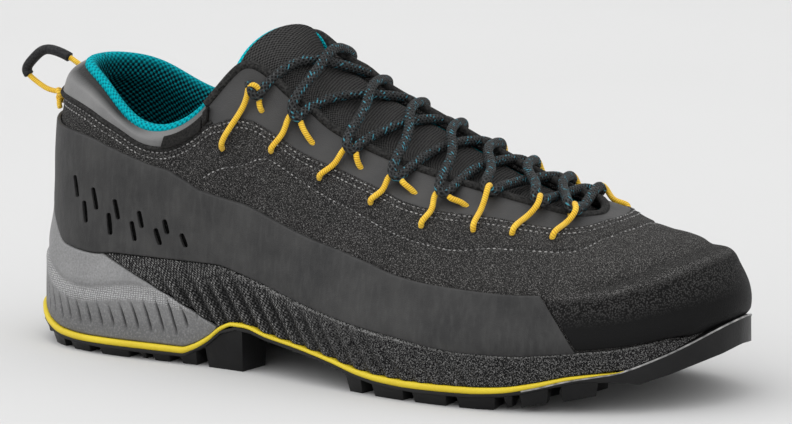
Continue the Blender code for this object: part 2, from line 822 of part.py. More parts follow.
def lugs():
    """Every lug of the tread, in one list of blocks."""
    made = [edge_lug(first, last, HEEL_LUG, 5) for first, last in ((-0.92, -0.07), (0.07, 0.92))]
    for first, last, depth in EDGE_LUGS:
        for side in (-1, 1):
            ends = station_at(first, side), station_at(last, side)
            made.append(edge_lug(*ends, depth * BALL_WIDTH, 8 if first == BREAST_LUG else 3))
    for along, shares, size, turn in CENTRE_LUGS:
        for share in shares:
            made.append(centre_lug(along, share, size * BALL_WIDTH, np.radians(turn) * np.sign(share)))
    return made


def joined(name, blocks, collection):
    """One mesh from many separate blocks."""
    points = []
    faces = []
    for block_points, block_faces in blocks:
        start = sum(len(part) for part in points)
        points.append(block_points)
        faces += [tuple(start + corner for corner in face) for face in block_faces]
    return turn_out(add_mesh(name, np.vstack(points), faces, None, collection, smooth=False))


def outsole(made_of, collection, cutters):
    base = outsole_base(made_of, collection)
    return boolean(base, cutter(joined("lugs", lugs(), cutters)), "UNION", crossing=True)


def strip_layer(made_of, collection):
    """The coloured layer between outsole and midsole, which thins out toward the toe."""
    stations = full_round()
    along = edge_frame(stations)[2]
    reach = 0
    while max(along[reach + 1], along[-reach - 1]) <= STRIP_END:
        reach += 1
    kept = np.concatenate([np.arange(reach + 1), np.arange(ROUND - reach, ROUND)])
    rings = [
        ring(stations, RIM + 0.0012, lambda along: sole_top(along) + GAP),
        ring(stations, 0.0001, lambda along: sole_top(along) + GAP),
        ring(stations, 0.0001, lambda along: sole_top(along) + GAP + strip_thickness(along)),
        ring(stations, RIM + 0.0012, lambda along: sole_top(along) + GAP + strip_thickness(along)),
    ]
    for loop in rings[1:3]:
        ends = [reach, ROUND - reach]
        loop[ends, 0] = rings[0][ends, 0]
    return loft("sole_strip", [loop[kept] for loop in rings], made_of, collection)


def cup_face(stations, share):
    """Inner wall of the cup, a clearance outside the upper: share runs from the upper's foot to the lip."""
    lips = level_of(stations, lip_height(edge_frame(stations)[2]))
    levels = (lips * share)[:, None]
    return (upper_at(stations, levels) + upper_normals(stations, levels) * GAP)[:, 0]


def midsole_loops():
    stations = full_round()
    along = edge_frame(stations)[2]

    def tucked(share):
        def inset(along):
            return share(along) + toe_tuck(along) * (RIM - 0.0006)

        return inset

    def lip_inset(along):
        return np.maximum(lip_lean(along), toe_tuck(along) * (RIM - 0.0004))

    def wall_height(share):
        def height(along):
            return midsole_bottom(along) * (1 - share) + lip_height(along) * share

        return height

    def pocket_floor(along):
        return midsole_bottom(along) - pocket_depth(along) + GAP

    inner_lip = cup_face(stations, 1.0)
    inner_lip[:, 2] = lip_height(along)
    foot = cup_face(stations, 0.0)
    foot[:, 2] = footbed(along)
    return [
        ring(stations, RIM + 3 * GAP + 0.0012, pocket_floor),
        ring(stations, RIM + 3 * GAP, midsole_bottom),
        ring(stations, tucked(lambda along: GAP + 0 * along), midsole_bottom),
        ring(stations, tucked(lambda along: GAP + step_low(along) * lip_lean(along)), wall_height(0.46)),
        ring(stations, tucked(lambda along: GAP + step_high(along) * lip_lean(along)), wall_height(0.56)),
        ring(stations, lip_inset, lip_height),
        inner_lip,
        cup_face(stations, 0.5),
        foot,
    ]


def joint_prism(name, shift, collection):
    """Wedge that holds the heel foam: its sloping top runs down to the arch in front of the heel."""
    back = -0.1 * LENGTH
    bend = FOAM_BEND * LENGTH
    front = FOAM_FRONT * LENGTH
    high = HEEL_STACK + FOAM_HIGH * CUP_RISE
    low = EDGE_RISE + FOAM_LOW * ARCH_RISE
    above = high + (low - high) * FOAM_BEND / FOAM_FRONT
    profile = ((back, 2 * high), (bend, above), (front, low), (front, -high), (back, -high))
    profile = [(x + shift, z + shift) for x, z in profile]
    side = BALL_WIDTH
    loops = [np.array([(x, y, z) for x, z in profile]) for y in (-side, side)]
    points, faces = block(*loops)
    return cutter(turn_out(add_mesh(name, points, faces, None, collection, smooth=False)))


def midsole(foam, frame, collection, cutters):
    """Grey heel wedge and black frame, cut from one form along a sloping joint."""
    heel = loft("midsole_heel", midsole_loops(), foam, collection)
    boolean(heel, joint_prism("foam_wedge", 0, cutters), "INTERSECT")
    rest = loft("midsole_frame", midsole_loops(), frame, collection)
    boolean(rest, joint_prism("frame_wedge", GAP, cutters), "DIFFERENCE")


def upper(made_of, collection):
    """The last's whole surface from the foot to the mouth, one wall thick."""
    points = upper_at(full_round(), np.array(UPPER_LEVELS)).transpose(1, 0, 2)
    faces = side_faces(len(UPPER_LEVELS), ROUND, closed=True)
    return solidify(add_mesh("upper", points.reshape(-1, 3), faces, made_of, collection), WALL)


def insole(made_of, collection):
    """Flat footbed that lies inside the upper's foot."""
    stations = full_round()[::2]
    foot = upper_at(stations, [0.0])[:, 0]
    inward, along = edge_frame(stations)[1:]
    rings = []
    for inset, rise in ((2.0, 0), (1.0, 0), (1.0, 0.6), (2.0, 1.0)):
        plan = foot[:, :2] + inward * (WALL + INSOLE_SIDE * inset)
        rings.append(np.column_stack([plan, footbed(along) + 1.5 * GAP + rise * INSOLE]))
    return loft("insole", rings, made_of, collection)


def on_upper(stations, levels, lift):
    """Points at a height over the upper's outer face, one for each station and level."""
    levels = np.reshape(levels, (-1, 1))
    return (upper_at(stations, levels) + upper_normals(stations, levels) * lift)[:, 0]


def aligned(first, last, every=1):
    """Stations of the upper's own columns between two stations, with both ends."""
    step = COUNT / ROUND * every
    inner = np.arange(np.ceil(first / step + 0.3), np.floor(last / step - 0.3) + 1) * step
    return np.concatenate([[first], inner, [last]])


def cover(name, low, high, rows, made_of, collection, lift=0, thickness=None):
    """A sheet over the upper between two edges, each given as stations and levels."""
    thickness = thickness or OVERLAY
    points = []
    for share in rows:
        stations = low[0] * (1 - share) + high[0] * share
        levels = low[1] * (1 - share) + high[1] * share
        points.append(on_upper(stations, levels, COVER_GAP + lift + thickness))
    faces = side_faces(len(rows), len(low[0]), closed=False)
    return solidify(add_mesh(name, np.vstack(points), faces, made_of, collection), thickness)


def mirrored(curve, stations):
    """A level curve given for the outer side, read on both sides."""
    turned = np.abs(np.where(stations > TOE_TIP, COUNT - stations, stations))
    return curve(turned)


def toe_cap(made_of, collection):
    low = np.array(CAP_LOW)
    high = np.array(CAP_HIGH)
    low_stations = aligned(low[0, 0], low[-1, 0])
    share = (low_stations - low[0, 0]) / (low[-1, 0] - low[0, 0])
    high_stations = high[0, 0] + (high[-1, 0] - high[0, 0]) * share
    low_levels = cubic(low[:, 0], low[:, 1:])(low_stations)[:, 0]
    high_levels = cubic(high[:, 0], high[:, 1:])(high_stations)[:, 0]
    edges = (low_stations, low_levels), (high_stations, high_levels)
    return cover("toe_cap", *edges, (0, 0.14, 0.36, 0.66, 1), made_of, collection)


def side_wrap(made_of, collection):
    """Smooth band from the toe cap round the heel to the toe cap's other end."""
    reach = WRAP_FRONT[1] - 0.25
    heel = aligned(-3, 3)
    middle = np.concatenate([aligned(-reach, -3, 2)[:-1], heel, aligned(3, reach, 2)[1:]])
    low_stations = np.concatenate([[-WRAP_FRONT[0]], middle, [WRAP_FRONT[0]]])
    high_stations = np.concatenate([[-WRAP_FRONT[1]], middle, [WRAP_FRONT[1]]])
    lips = lip_height(edge_frame(low_stations)[2])
    low_levels = level_of(low_stations, lips) + WRAP_FOOT
    high_levels = mirrored(monotone(WRAP_HIGH, 1), high_stations)
    edges = (low_stations, low_levels), (high_stations, high_levels)
    return cover("side_wrap", *edges, (0, 0.14, 0.38, 0.68, 1), made_of, collection)


def collar_panel(made_of, collection):
    stations = aligned(-COLLAR_END, COLLAR_END)
    low = mirrored(monotone(COLLAR_LOW, 1), stations)
    top = np.full(len(low), COVER_TOP)
    return cover("collar_panel", (stations, low), (stations, top), (0, 0.5, 1), made_of, collection)


def eyestay(made_of, collection):
    """Band round the throat, from the collar panel's outer end to its inner one."""
    stations = aligned(EYESTAY_END, COUNT - EYESTAY_END)
    low = mirrored(monotone(EYESTAY_LOW, 1), stations)
    top = np.full(len(low), COVER_TOP)
    return cover("eyestay", (stations, low), (stations, top), (0, 0.5, 1), made_of, collection)


def side_label(made_of, collection):
    corners = np.array(LABEL)
    share = np.linspace(0, 1, 4)[:, None]
    low = (corners[0] * (1 - share) + corners[1] * share).T
    high = (corners[2] * (1 - share) + corners[3] * share).T
    return cover("side_label", low, high, (0, 1), made_of, collection, lift=OVERLAY + COVER_GAP)


def collar_lining(made_of, collection):
    """Padded roll over the collar's edge that runs down inside, swept round the collar."""
    stations = aligned(-LINING_END, LINING_END, 2)
    mouth = upper_at(stations, [1.0])[:, 0]
    out = upper_normals(stations, [0.99])[:, 0]
    up = mouth - upper_at(stations, [0.97])[:, 0]
    up /= np.linalg.norm(up, axis=1)[:, None]
    under = WALL + 3 * GAP
    loops = [mouth + up * rise + out * side for rise, side in ROLL]
    levels = [depth_level(stations, depth) for depth, _ in INSIDE]
    for level, (_, share) in zip(levels, INSIDE):
        loops.append(on_upper(stations, level, -under - PADDING * share))
    for level in levels[::-1]:
        loops.append(on_upper(stations, level, -under))
    loops.append(mouth - out * under + up * GAP)
    points = np.stack(loops, axis=1)
    count = len(loops)
    faces = side_faces(len(stations), count, closed=True)
    faces += [tuple(range(count)), tuple(range((len(stations) - 1) * count, len(stations) * count))]
    return turn_out(add_mesh("collar_lining", points.reshape(-1, 3), faces, made_of, collection))


def tongue_row(station, shares):
    """Points across the tongue's outer face at one station, tucked under the throat's edge at both ends."""
    under = WALL + 3.3 * GAP
    pair = np.array([station, COUNT - station])
    tuck = depth_level(pair, TONGUE_TUCK)
    levels = np.column_stack([tuck, [0.99, 0.99]])
    sides = upper_at(pair, levels) - upper_normals(pair, levels) * under
    near = np.array([station + 0.1, COUNT - station - 0.1])
    ahead = upper_at(near, [0.99])[:, 0].mean(axis=0) - upper_at(pair, [0.99])[:, 0].mean(axis=0)
    out = np.cross(sides[1, 1] - sides[0, 1], ahead)
    out /= np.linalg.norm(out) * (1 if out[2] > 0 else -1)
    middle = sides[:, 1].mean(axis=0) + out * tongue_bulge(station) * TONGUE_RISE
    corners = np.array([sides[0, 0], sides[0, 1], middle, sides[1, 1], sides[1, 0]])
    ways = np.linalg.norm(np.diff(corners, axis=0), axis=1)
    knots = np.concatenate([[0.0], np.cumsum(ways)])
    return cubic(knots, corners)(shares * knots[-1]), out


def tongue(made_of, collection):
    """Padded tongue from its free top to its end under the vamp."""
    shares = np.linspace(0, 1, TONGUE_COLUMNS)
    rows = [tongue_row(row[0], shares)[0] for row in TONGUE_ROWS]
    ends = np.linspace(TONGUE_FRONT, COUNT - TONGUE_FRONT, TONGUE_COLUMNS)
    levels = depth_level(ends, TONGUE_TUCK)[:, None]
    rows.append((upper_at(ends, levels) - upper_normals(ends, levels) * (WALL + 4 * GAP))[:, 0])
    faces = side_faces(len(rows), TONGUE_COLUMNS, closed=False)
    return solidify(add_mesh("tongue", np.vstack(rows[::-1]), faces, made_of, collection), TONGUE)


def tube(name, route, size, made_of, collection, points=None):
    """A round cord along a smooth curve through its route, with a point every few widths."""
    route = np.asarray(route)
    ways = np.linalg.norm(np.diff(route, axis=0), axis=1)
    knots = np.concatenate([[0.0], np.cumsum(ways)])
    count = points or int(np.ceil(knots[-1] / (2.3 * size)))
    along = knots if count == len(route) else np.linspace(0, knots[-1], count)
    points = placed(cubic(knots, route)(along))
    curve = bpy.data.curves.new(name, "CURVE")
    curve.dimensions = "3D"
    curve.bevel_depth = size / 2
    curve.bevel_resolution = 2
    curve.use_fill_caps = True
    spline = curve.splines.new("POLY")
    spline.points.add(count - 1)
    for point, place in zip(spline.points, points):
        point.co = (*place, 1.0)
    curve.materials.append(made_of)
    obj = bpy.data.objects.new(name, curve)
    collection.objects.link(obj)
    return obj


def as_mesh(obj, collection):
    """The same cord as a closed mesh, which can be joined to another."""
    graph = bpy.context.evaluated_depsgraph_get()
    graph.update()
    mesh = bpy.data.meshes.new_from_object(obj.evaluated_get(graph))
    work = bmesh.new()
    work.from_mesh(mesh)
    bmesh.ops.remove_doubles(work, verts=work.verts, dist=0.00001)
    bmesh.ops.recalc_face_normals(work, faces=work.faces)
    work.to_mesh(mesh)
    work.free()
    name = obj.name
    bpy.data.objects.remove(obj, do_unlink=True)
    made = bpy.data.objects.new(name, mesh)
    collection.objects.link(made)
    return made


def surface_frame(station, level):
    """Directions on the upper at one place: toward the toe, up toward the mouth, and out of the surface."""
    stations = station + np.array([-0.02, 0.0, 0.0, 0.02])
    points = on_upper(stations, [level, level - 0.01, level + 0.01, level], 0)
    toeward = (points[3] - points[0]) * (1 if station < TOE_TIP else -1)
    upward = points[2] - points[1]
    out = upper_normals(stations[1:2], [level])[0, 0]
    return toeward / np.linalg.norm(toeward), upward / np.linalg.norm(upward), out


def turn_points(place):
    """The lace's turn round a cord loop, from its rear shoulder to its front one."""
    toeward, upward, _ = surface_frame(*place)
    middle = on_upper(np.array(place[:1]), place[1:], LACE_LIFT)[0]
    shape = ((-1.2, 0.62), (-0.65, 0), (0.65, 0), (1.2, 0.62))
    return [middle + (toeward * ahead + upward * rise) * TURN for ahead, rise in shape]


def crossing_points(outer, inner):
    """Two points of a lace strand over the tongue, from its outer turn to its inner one.

    The strand that runs back toward the ankle lies on top at the crossing.
    """
    first = OUTER_TURNS[outer][0]
    last = COUNT - INNER_TURNS[inner][0]
    lift = LACE / 2 + 5 * GAP + (LACE * LACE_STACK if outer > inner else 0)
    points = []
    for share in (0.30, 0.70):
        across = TONGUE_MARGIN + (1 - 2 * TONGUE_MARGIN) * share
        spots, out = tongue_row(first + (last - first) * share, np.array([across]))
        points.append(spots[0] + out * lift)
    return points


def lace_route(starts_outside):
    """Route of one half of the lace, from its top loop down to the middle of the toe bar."""
    route = []
    outside = starts_outside
    turns = len(OUTER_TURNS)
    for i in range(turns):
        route += turn_points((OUTER_TURNS if outside else INNER_TURNS)[i])
        if i < turns - 1:
            strand = crossing_points(i, i + 1) if outside else crossing_points(i + 1, i)[::-1]
            route += strand
        outside = not outside
    first = OUTER_TURNS[-1][0]
    last = COUNT - INNER_TURNS[-1][0]
    spots, out = tongue_row((first + last) / 2 + TOE_BAR, np.array([0.5]))
    route.append(spots[0] + out * (LACE / 2 + LACE * LACE_STACK))
    return route


def lace(made_of, collection, cutters):
    """Both halves of the lace, joined where they cross and at the toe bar."""
    halves = []
    for name, outside, home in (("lace", True, collection), ("lace_inner_half", False, cutters)):
        route = lace_route(outside)
        halves.append(as_mesh(tube(name, route, LACE, made_of, home, points=len(route)), home))
    return boolean(halves[0], cutter(halves[1]), "UNION")


def lace_loops(made_of, collection):
    """Cord loops that come out of the upper, climb over the lace and end at the eyestay's edge."""
    reach = ((LACE + CORD) / 2 + 2 * GAP) / np.cos(np.radians(27.5))
    over = COVER_GAP + OVERLAY + GAP
    sides = (("outer", OUTER_TURNS, OUTER_FEET), ("inner", INNER_TURNS, INNER_FEET))
    for side, turns, feet in sides:
        for i, (turn, foot) in enumerate(zip(turns, feet)):
            upward, out = surface_frame(*turn)[1:]
            centre = on_upper(np.array(turn[:1]), turn[1:], LACE_LIFT)[0]
            stations = np.array([foot[0], (foot[0] + turn[0]) / 2])
            levels = [foot[1], (foot[1] + turn[1]) / 2]
            route = [
                on_upper(stations[:1], levels[:1], over + CORD / 2)[0],
                on_upper(stations[1:], levels[1:], over + CORD / 2 + 2 * GAP)[0],
            ]
            for angle in np.radians([170, 115, 60, 5]):
                route.append(centre + (upward * np.cos(angle) + out * np.sin(angle)) * reach)
            route.append(route[-1] - out * (LACE_LIFT - over))
            tube(f"lace_loop_{side}_{i + 1}", route, CORD, made_of, collection, points=LOOP_POINTS)


def pull_loop(cord, cloth, collection):
    """Heel loop: a cord in a sleeve, fixed at the collar and lower down on the heel."""
    high = on_upper(np.zeros(1), PULL_ENDS[0], COVER_GAP + OVERLAY + 3 * GAP)[0]
    low = on_upper(np.zeros(1), PULL_ENDS[1], 4 * GAP)[0]
    bow = [high + np.array([-back, 0, rise]) * COLLAR_HEIGHT for back, rise in PULL_BOW]
    route = np.array([high, *bow, low])
    tube("pull_cord", route, CORD, cord, collection, points=12)
    ways = np.linalg.norm(np.diff(route, axis=0), axis=1)
    knots = np.concatenate([[0.0], np.cumsum(ways)])
    middle = cubic(knots, route)(np.linspace(*PULL_SLEEVE, 7) * knots[-1])
    sleeve = tube("pull_sleeve", middle, SLEEVE, cloth, collection, points=7)
    sleeve.data.use_fill_caps = False
    solidify(as_mesh(sleeve, collection), (SLEEVE - CORD) / 2 - 3 * GAP)


def build():
    for old in list(bpy.data.objects):
        bpy.data.objects.remove(old, do_unlink=True)
    shoe = bpy.data.collections.new("approach_shoe")
    cutters = bpy.data.collections.new("cutters")
    bpy.context.scene.collection.children.link(shoe)
    bpy.context.scene.collection.children.link(cutters)
    rubber = material("outsole_rubber", (0.02, 0.02, 0.021), 0.6)
    yellow = material("strip_foam", (0.75, 0.55, 0.03), 0.6)
    foam = material("heel_foam", (0.11, 0.11, 0.115), 0.7)
    frame = material("frame_foam", (0.025, 0.025, 0.027), 0.65)
    suede = material("upper_suede", (0.045, 0.045, 0.048), 0.9)
    fabric = material("insole_fabric", (0.06, 0.06, 0.065), 0.9)
    knit = material("tongue_knit", (0.05, 0.12, 0.13), 0.9)
    cap = material("cap_suede", (0.03, 0.03, 0.032), 0.55)
    band = material("band_synthetic", (0.035, 0.035, 0.037), 0.6)
    panel = material("panel_leather", (0.09, 0.09, 0.095), 0.4)
    edging = material("eyestay_suede", (0.04, 0.04, 0.042), 0.9)
    tab = material("label_cloth", (0.02, 0.02, 0.02), 0.8)
    braid = material("lace_braid", (0.03, 0.035, 0.036), 0.9)
    yellow_cord = material("loop_cord", (0.75, 0.57, 0.04), 0.8)
    woven = material("sleeve_cloth", (0.03, 0.03, 0.032), 0.85)
    outsole(rubber, shoe, cutters)
    strip_layer(yellow, shoe)
    midsole(foam, frame, shoe, cutters)
    upper(suede, shoe)
    insole(fabric, shoe)
    tongue(knit, shoe)
    toe_cap(cap, shoe)
    side_wrap(band, shoe)
    collar_panel(panel, shoe)
    eyestay(edging, shoe)
    collar_lining(knit, shoe)
    side_label(tab, shoe)
    lace(braid, shoe, cutters)
    lace_loops(yellow_cord, shoe)
    pull_loop(yellow_cord, woven, shoe)


build()
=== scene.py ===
"""Looks of the approach shoe: suede, smooth band, knit, foam, rubber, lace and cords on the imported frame."""

import math

import bmesh
import bpy
import numpy as np
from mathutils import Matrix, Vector


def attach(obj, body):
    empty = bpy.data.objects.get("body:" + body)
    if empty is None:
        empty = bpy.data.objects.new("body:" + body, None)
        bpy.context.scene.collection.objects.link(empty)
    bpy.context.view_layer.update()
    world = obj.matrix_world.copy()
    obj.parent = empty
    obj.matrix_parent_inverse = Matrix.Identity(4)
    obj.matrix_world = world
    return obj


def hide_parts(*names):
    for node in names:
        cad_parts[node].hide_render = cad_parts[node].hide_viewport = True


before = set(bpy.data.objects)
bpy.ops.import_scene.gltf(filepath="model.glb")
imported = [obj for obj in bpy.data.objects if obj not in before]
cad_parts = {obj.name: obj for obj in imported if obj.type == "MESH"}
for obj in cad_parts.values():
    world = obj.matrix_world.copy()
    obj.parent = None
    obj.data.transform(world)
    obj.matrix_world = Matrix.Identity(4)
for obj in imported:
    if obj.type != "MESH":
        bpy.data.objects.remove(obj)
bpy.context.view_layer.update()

# Driving sizes of the last and the sole
LENGTH = 0.292
BALL_WIDTH = 0.105
HEEL_WIDTH = 0.0755
COLLAR_HEIGHT = 0.109
INSTEP_HEIGHT = 0.103
TOE_HEIGHT = 0.064
HEEL_STACK = 0.028
BALL_STACK = 0.018
CUP_RISE = 0.0265
SIDE_LEAN = 0.005
EDGE_RISE = 0.0043
HEEL_BEVEL = 0.0087
ARCH_RISE = 0.013
TOE_SPRING = 0.0215

# Thicknesses and clearances
WALL = 0.002
OVERLAY = 0.001
STRIP = 0.0023
RIM = 0.0035
LIP = 0.0009
INSOLE = 0.003
PADDING = 0.0048
TONGUE = 0.0035
GAP = 0.0003
COVER_GAP = 0.00055
FOOT_TUCK = 0.003
LACE = 0.0042
CORD = 0.0021
TURN = 0.0044
LACE_LIFT = COVER_GAP + OVERLAY + 3 * GAP + LACE / 2
LACE_STACK = 0.75
INNER_LIFT = 0.0035
TONGUE_MARGIN = 0.16
TOE_BAR = 0.32
SLEEVE = 0.006

# Heel loop: levels of its two ends on the heel, its bow as (back, up) from the higher end in shares of
# the collar height, and the stretch of it that the sleeve covers
PULL_ENDS = (0.9, 0.77)
PULL_BOW = (
    (0.047, 0.026), (0.098, 0.044), (0.15, 0.048), (0.205, 0.011), (0.233, -0.032), (0.194, -0.069),
    (0.143, -0.094),
)
PULL_SLEEVE = (0.115, 0.606)

# The ground point under the heel, as a share of the length from the heel's back
HEEL_REST = 0.137

# Stations run round the sole edge from the heel's back along the outer side, and back along the inner one.
# Each row: name, sole edge (along, side), mouth edge (along, side, size it follows, rise),
# then three points of the wall between them: share of the way in, share of the way up.
MOUTH_SIZES = {"collar": COLLAR_HEIGHT, "instep": INSTEP_HEIGHT, "toe": TOE_HEIGHT}
STATIONS = (
    ("heel back", 0.0, 0.0, 0.072, 0.0, "collar", 1.0, 0.324, 0.42, 0.362, 0.642, 0.49, 0.864),
    # Outer side, heel to toe
    ("heel corner", 0.031, -0.298, 0.084, -0.172, "collar", 0.991, 0.341, 0.425, 0.374, 0.625, 0.523, 0.838),
    ("heel side", 0.11, -0.47, 0.132, -0.298, "collar", 0.931, 0.344, 0.382, 0.372, 0.599, 0.523, 0.817),
    ("ankle", 0.212, -0.501, 0.209, -0.404, "collar", 0.812, 0.6, 0.366, 0.58, 0.564, 0.68, 0.827),
    ("quarter", 0.315, -0.501, 0.295, -0.371, "collar", 0.894, 0.383, 0.32, 0.375, 0.521, 0.54, 0.807),
    ("facing", 0.384, -0.508, 0.346, -0.291, "instep", 1.083, 0.204, 0.257, 0.267, 0.491, 0.534, 0.784),
    ("instep", 0.462, -0.503, 0.435, -0.241, "instep", 0.956, 0.153, 0.257, 0.282, 0.52, 0.584, 0.77),
    ("waist", 0.548, -0.498, 0.534, -0.192, "instep", 0.82, 0.111, 0.238, 0.236, 0.531, 0.524, 0.792),
    ("ball", 0.651, -0.498, 0.634, -0.162, "instep", 0.743, 0.09, 0.239, 0.21, 0.513, 0.505, 0.769),
    ("toe root", 0.76, -0.476, 0.729, -0.138, "toe", 1.102, 0.088, 0.236, 0.218, 0.526, 0.491, 0.778),
    ("toe side", 0.856, -0.386, 0.783, -0.081, "toe", 1.031, 0.097, 0.239, 0.208, 0.53, 0.415, 0.754),
    ("toe corner", 0.949, -0.186, 0.8, -0.01, "toe", 1.008, 0.086, 0.274, 0.154, 0.529, 0.338, 0.745),
    ("toe tip", 0.997, 0.076, 0.805, 0.057, "toe", 1.0, 0.076, 0.278, 0.136, 0.542, 0.268, 0.731),
    # Inner side, toe to heel
    ("toe corner", 0.979, 0.276, 0.8, 0.119, "toe", 1.008, 0.076, 0.267, 0.145, 0.507, 0.291, 0.707),
    ("toe side", 0.897, 0.443, 0.783, 0.186, "toe", 1.039, 0.086, 0.233, 0.186, 0.519, 0.395, 0.748),
    ("toe root", 0.781, 0.51, 0.729, 0.214, "toe", 1.094, 0.096, 0.23, 0.218, 0.507, 0.465, 0.763),
    ("ball", 0.668, 0.484, 0.634, 0.215, "instep", 0.782, 0.103, 0.224, 0.2, 0.48, 0.45, 0.752),
    ("waist", 0.548, 0.424, 0.534, 0.223, "instep", 0.913, 0.15, 0.221, 0.205, 0.49, 0.425, 0.772),
    ("instep", 0.455, 0.409, 0.435, 0.247, "instep", 1.049, 0.21, 0.225, 0.23, 0.46, 0.4, 0.742),
    ("facing", 0.377, 0.425, 0.349, 0.297, "instep", 1.146, 0.29, 0.237, 0.28, 0.455, 0.44, 0.76),
    ("quarter", 0.301, 0.45, 0.295, 0.384, "collar", 0.936, 0.78, 0.301, 0.69, 0.516, 0.72, 0.785),
    ("ankle", 0.205, 0.485, 0.205, 0.404, "collar", 0.849, 0.7, 0.374, 0.65, 0.56, 0.72, 0.791),
    ("heel side", 0.11, 0.464, 0.132, 0.311, "collar", 0.945, 0.378, 0.374, 0.409, 0.587, 0.575, 0.8),
    ("heel corner", 0.031, 0.298, 0.084, 0.172, "collar", 0.991, 0.341, 0.425, 0.374, 0.625, 0.523, 0.838),
)

# Top edge of the outsole: along, then shares of the heel bevel, arch rise and toe spring
SOLE_LINE = (
    (0.0, 1.0, 0.0, 0.0), (0.014, 0.85, 0.0, 0.0), (0.047, 0.31, 0.0, 0.0), (0.079, 0.07, 0.0, 0.0),
    (0.125, 0.0, 0.0, 0.0), (0.274, 0.0, 0.0, 0.0), (0.293, 0.0, 0.13, 0.0), (0.317, 0.0, 0.45, 0.0),
    (0.34, 0.0, 0.86, 0.0), (0.356, 0.0, 1.0, 0.0), (0.373, 0.0, 1.0, 0.0), (0.41, 0.0, 0.82, 0.0),
    (0.464, 0.0, 0.65, 0.0), (0.519, 0.0, 0.43, 0.0), (0.56, 0.0, 0.22, 0.0), (0.595, 0.0, 0.12, 0.0),
    (0.637, 0.0, 0.08, 0.0), (0.72, 0.0, 0.08, 0.02), (0.764, 0.0, 0.08, 0.07), (0.805, 0.0, 0.08, 0.19),
    (0.842, 0.0, 0.08, 0.33), (0.877, 0.0, 0.08, 0.42), (0.894, 0.0, 0.08, 0.46), (0.939, 0.0, 0.08, 0.71),
    (0.965, 0.0, 0.08, 0.91), (0.993, 0.0, 0.08, 1.16), (1.0, 0.0, 0.08, 1.22),
)

# Footbed: along, share of the heel's extra stack, share of the toe spring
BED_LINE = (
    (0.0, 1.0, 0.0), (0.34, 0.96, 0.0), (0.384, 0.8, 0.0), (0.462, 0.45, 0.0), (0.548, 0.15, 0.0),
    (0.65, 0.0, 0.0), (0.76, 0.0, 0.01), (0.825, 0.0, 0.07), (0.863, 0.0, 0.11), (0.897, 0.0, 0.15),
    (0.935, 0.0, 0.23), (0.962, 0.0, 0.3), (1.0, 0.0, 0.38),
)

# Sides of the midsole: along, lip above the footbed (share of the cup's rise), lip's lean and the two
# edges of the side step (shares of the lean), strip thickness, and how far the toe is tucked into the rim
SIDE_LINE = (
    (0.0, 1.0, 1.0, 0.06, 0.5, 0.9, 0.0), (0.018, 0.97, 1.0, 0.06, 0.5, 1.0, 0.0),
    (0.041, 0.75, 0.85, 0.06, 0.5, 1.0, 0.0), (0.075, 0.46, 0.68, 0.06, 0.5, 1.0, 0.0),
    (0.132, 0.4, 0.64, 0.08, 0.5, 1.0, 0.0), (0.17, 0.44, 0.62, 0.08, 0.46, 1.0, 0.0),
    (0.285, 0.44, 0.6, 0.2, 0.36, 1.0, 0.0), (0.324, 0.44, 0.56, 0.2, 0.3, 0.8, 0.0),
    (0.356, 0.39, 0.54, 0.18, 0.25, 0.55, 0.0), (0.394, 0.35, 0.52, 0.16, 0.22, 0.5, 0.0),
    (0.459, 0.27, 0.48, 0.14, 0.2, 0.5, 0.0), (0.515, 0.235, 0.44, 0.12, 0.18, 0.6, 0.0),
    (0.568, 0.197, 0.4, 0.1, 0.15, 0.85, 0.0), (0.62, 0.174, 0.38, 0.1, 0.15, 1.0, 0.0),
    (0.671, 0.121, 0.36, 0.1, 0.15, 1.0, 0.0), (0.717, 0.091, 0.34, 0.1, 0.15, 1.0, 0.0),
    (0.762, 0.085, 0.32, 0.1, 0.15, 0.9, 0.0), (0.803, 0.083, 0.3, 0.1, 0.15, 0.7, 0.0),
    (0.842, 0.087, 0.3, 0.1, 0.15, 0.45, 0.0), (0.88, 0.087, 0.3, 0.1, 0.15, 0.2, 0.0),
    (0.913, 0.098, 0.3, 0.1, 0.15, 0.2, 0.0), (0.947, 0.117, 0.32, 0.1, 0.15, 0.2, 0.0),
    (0.965, 0.12, 0.45, 0.1, 0.15, 0.2, 0.3), (0.985, 0.19, 0.7, 0.1, 0.15, 0.2, 0.85),
    (1.0, 0.24, 0.75, 0.1, 0.15, 0.2, 1.0),
)


def monotone(rows, column):
    """A smooth curve through one column of a table that never overshoots its rows."""
    knots = np.array([row[0] for row in rows])
    values = np.array([row[column] for row in rows])
    steps = np.diff(knots)
    slopes = np.diff(values) / steps
    tangents = np.zeros(len(knots))
    before = slopes[:-1]
    after = slopes[1:]
    same = before * after > 0
    tangents[1:-1][same] = 2 * before[same] * after[same] / (before + after)[same]
    tangents[0] = slopes[0]
    tangents[-1] = slopes[-1]

    def at(along):
        along = np.clip(along, knots[0], knots[-1])
        i = np.clip(np.searchsorted(knots, along) - 1, 0, len(steps) - 1)
        t = (along - knots[i]) / steps[i]
        start = values[i] * (1 + 2 * t) * (1 - t) ** 2 + tangents[i] * steps[i] * t * (1 - t) ** 2
        end = values[i + 1] * t * t * (3 - 2 * t) + tangents[i + 1] * steps[i] * t * t * (t - 1)
        return start + end

    return at


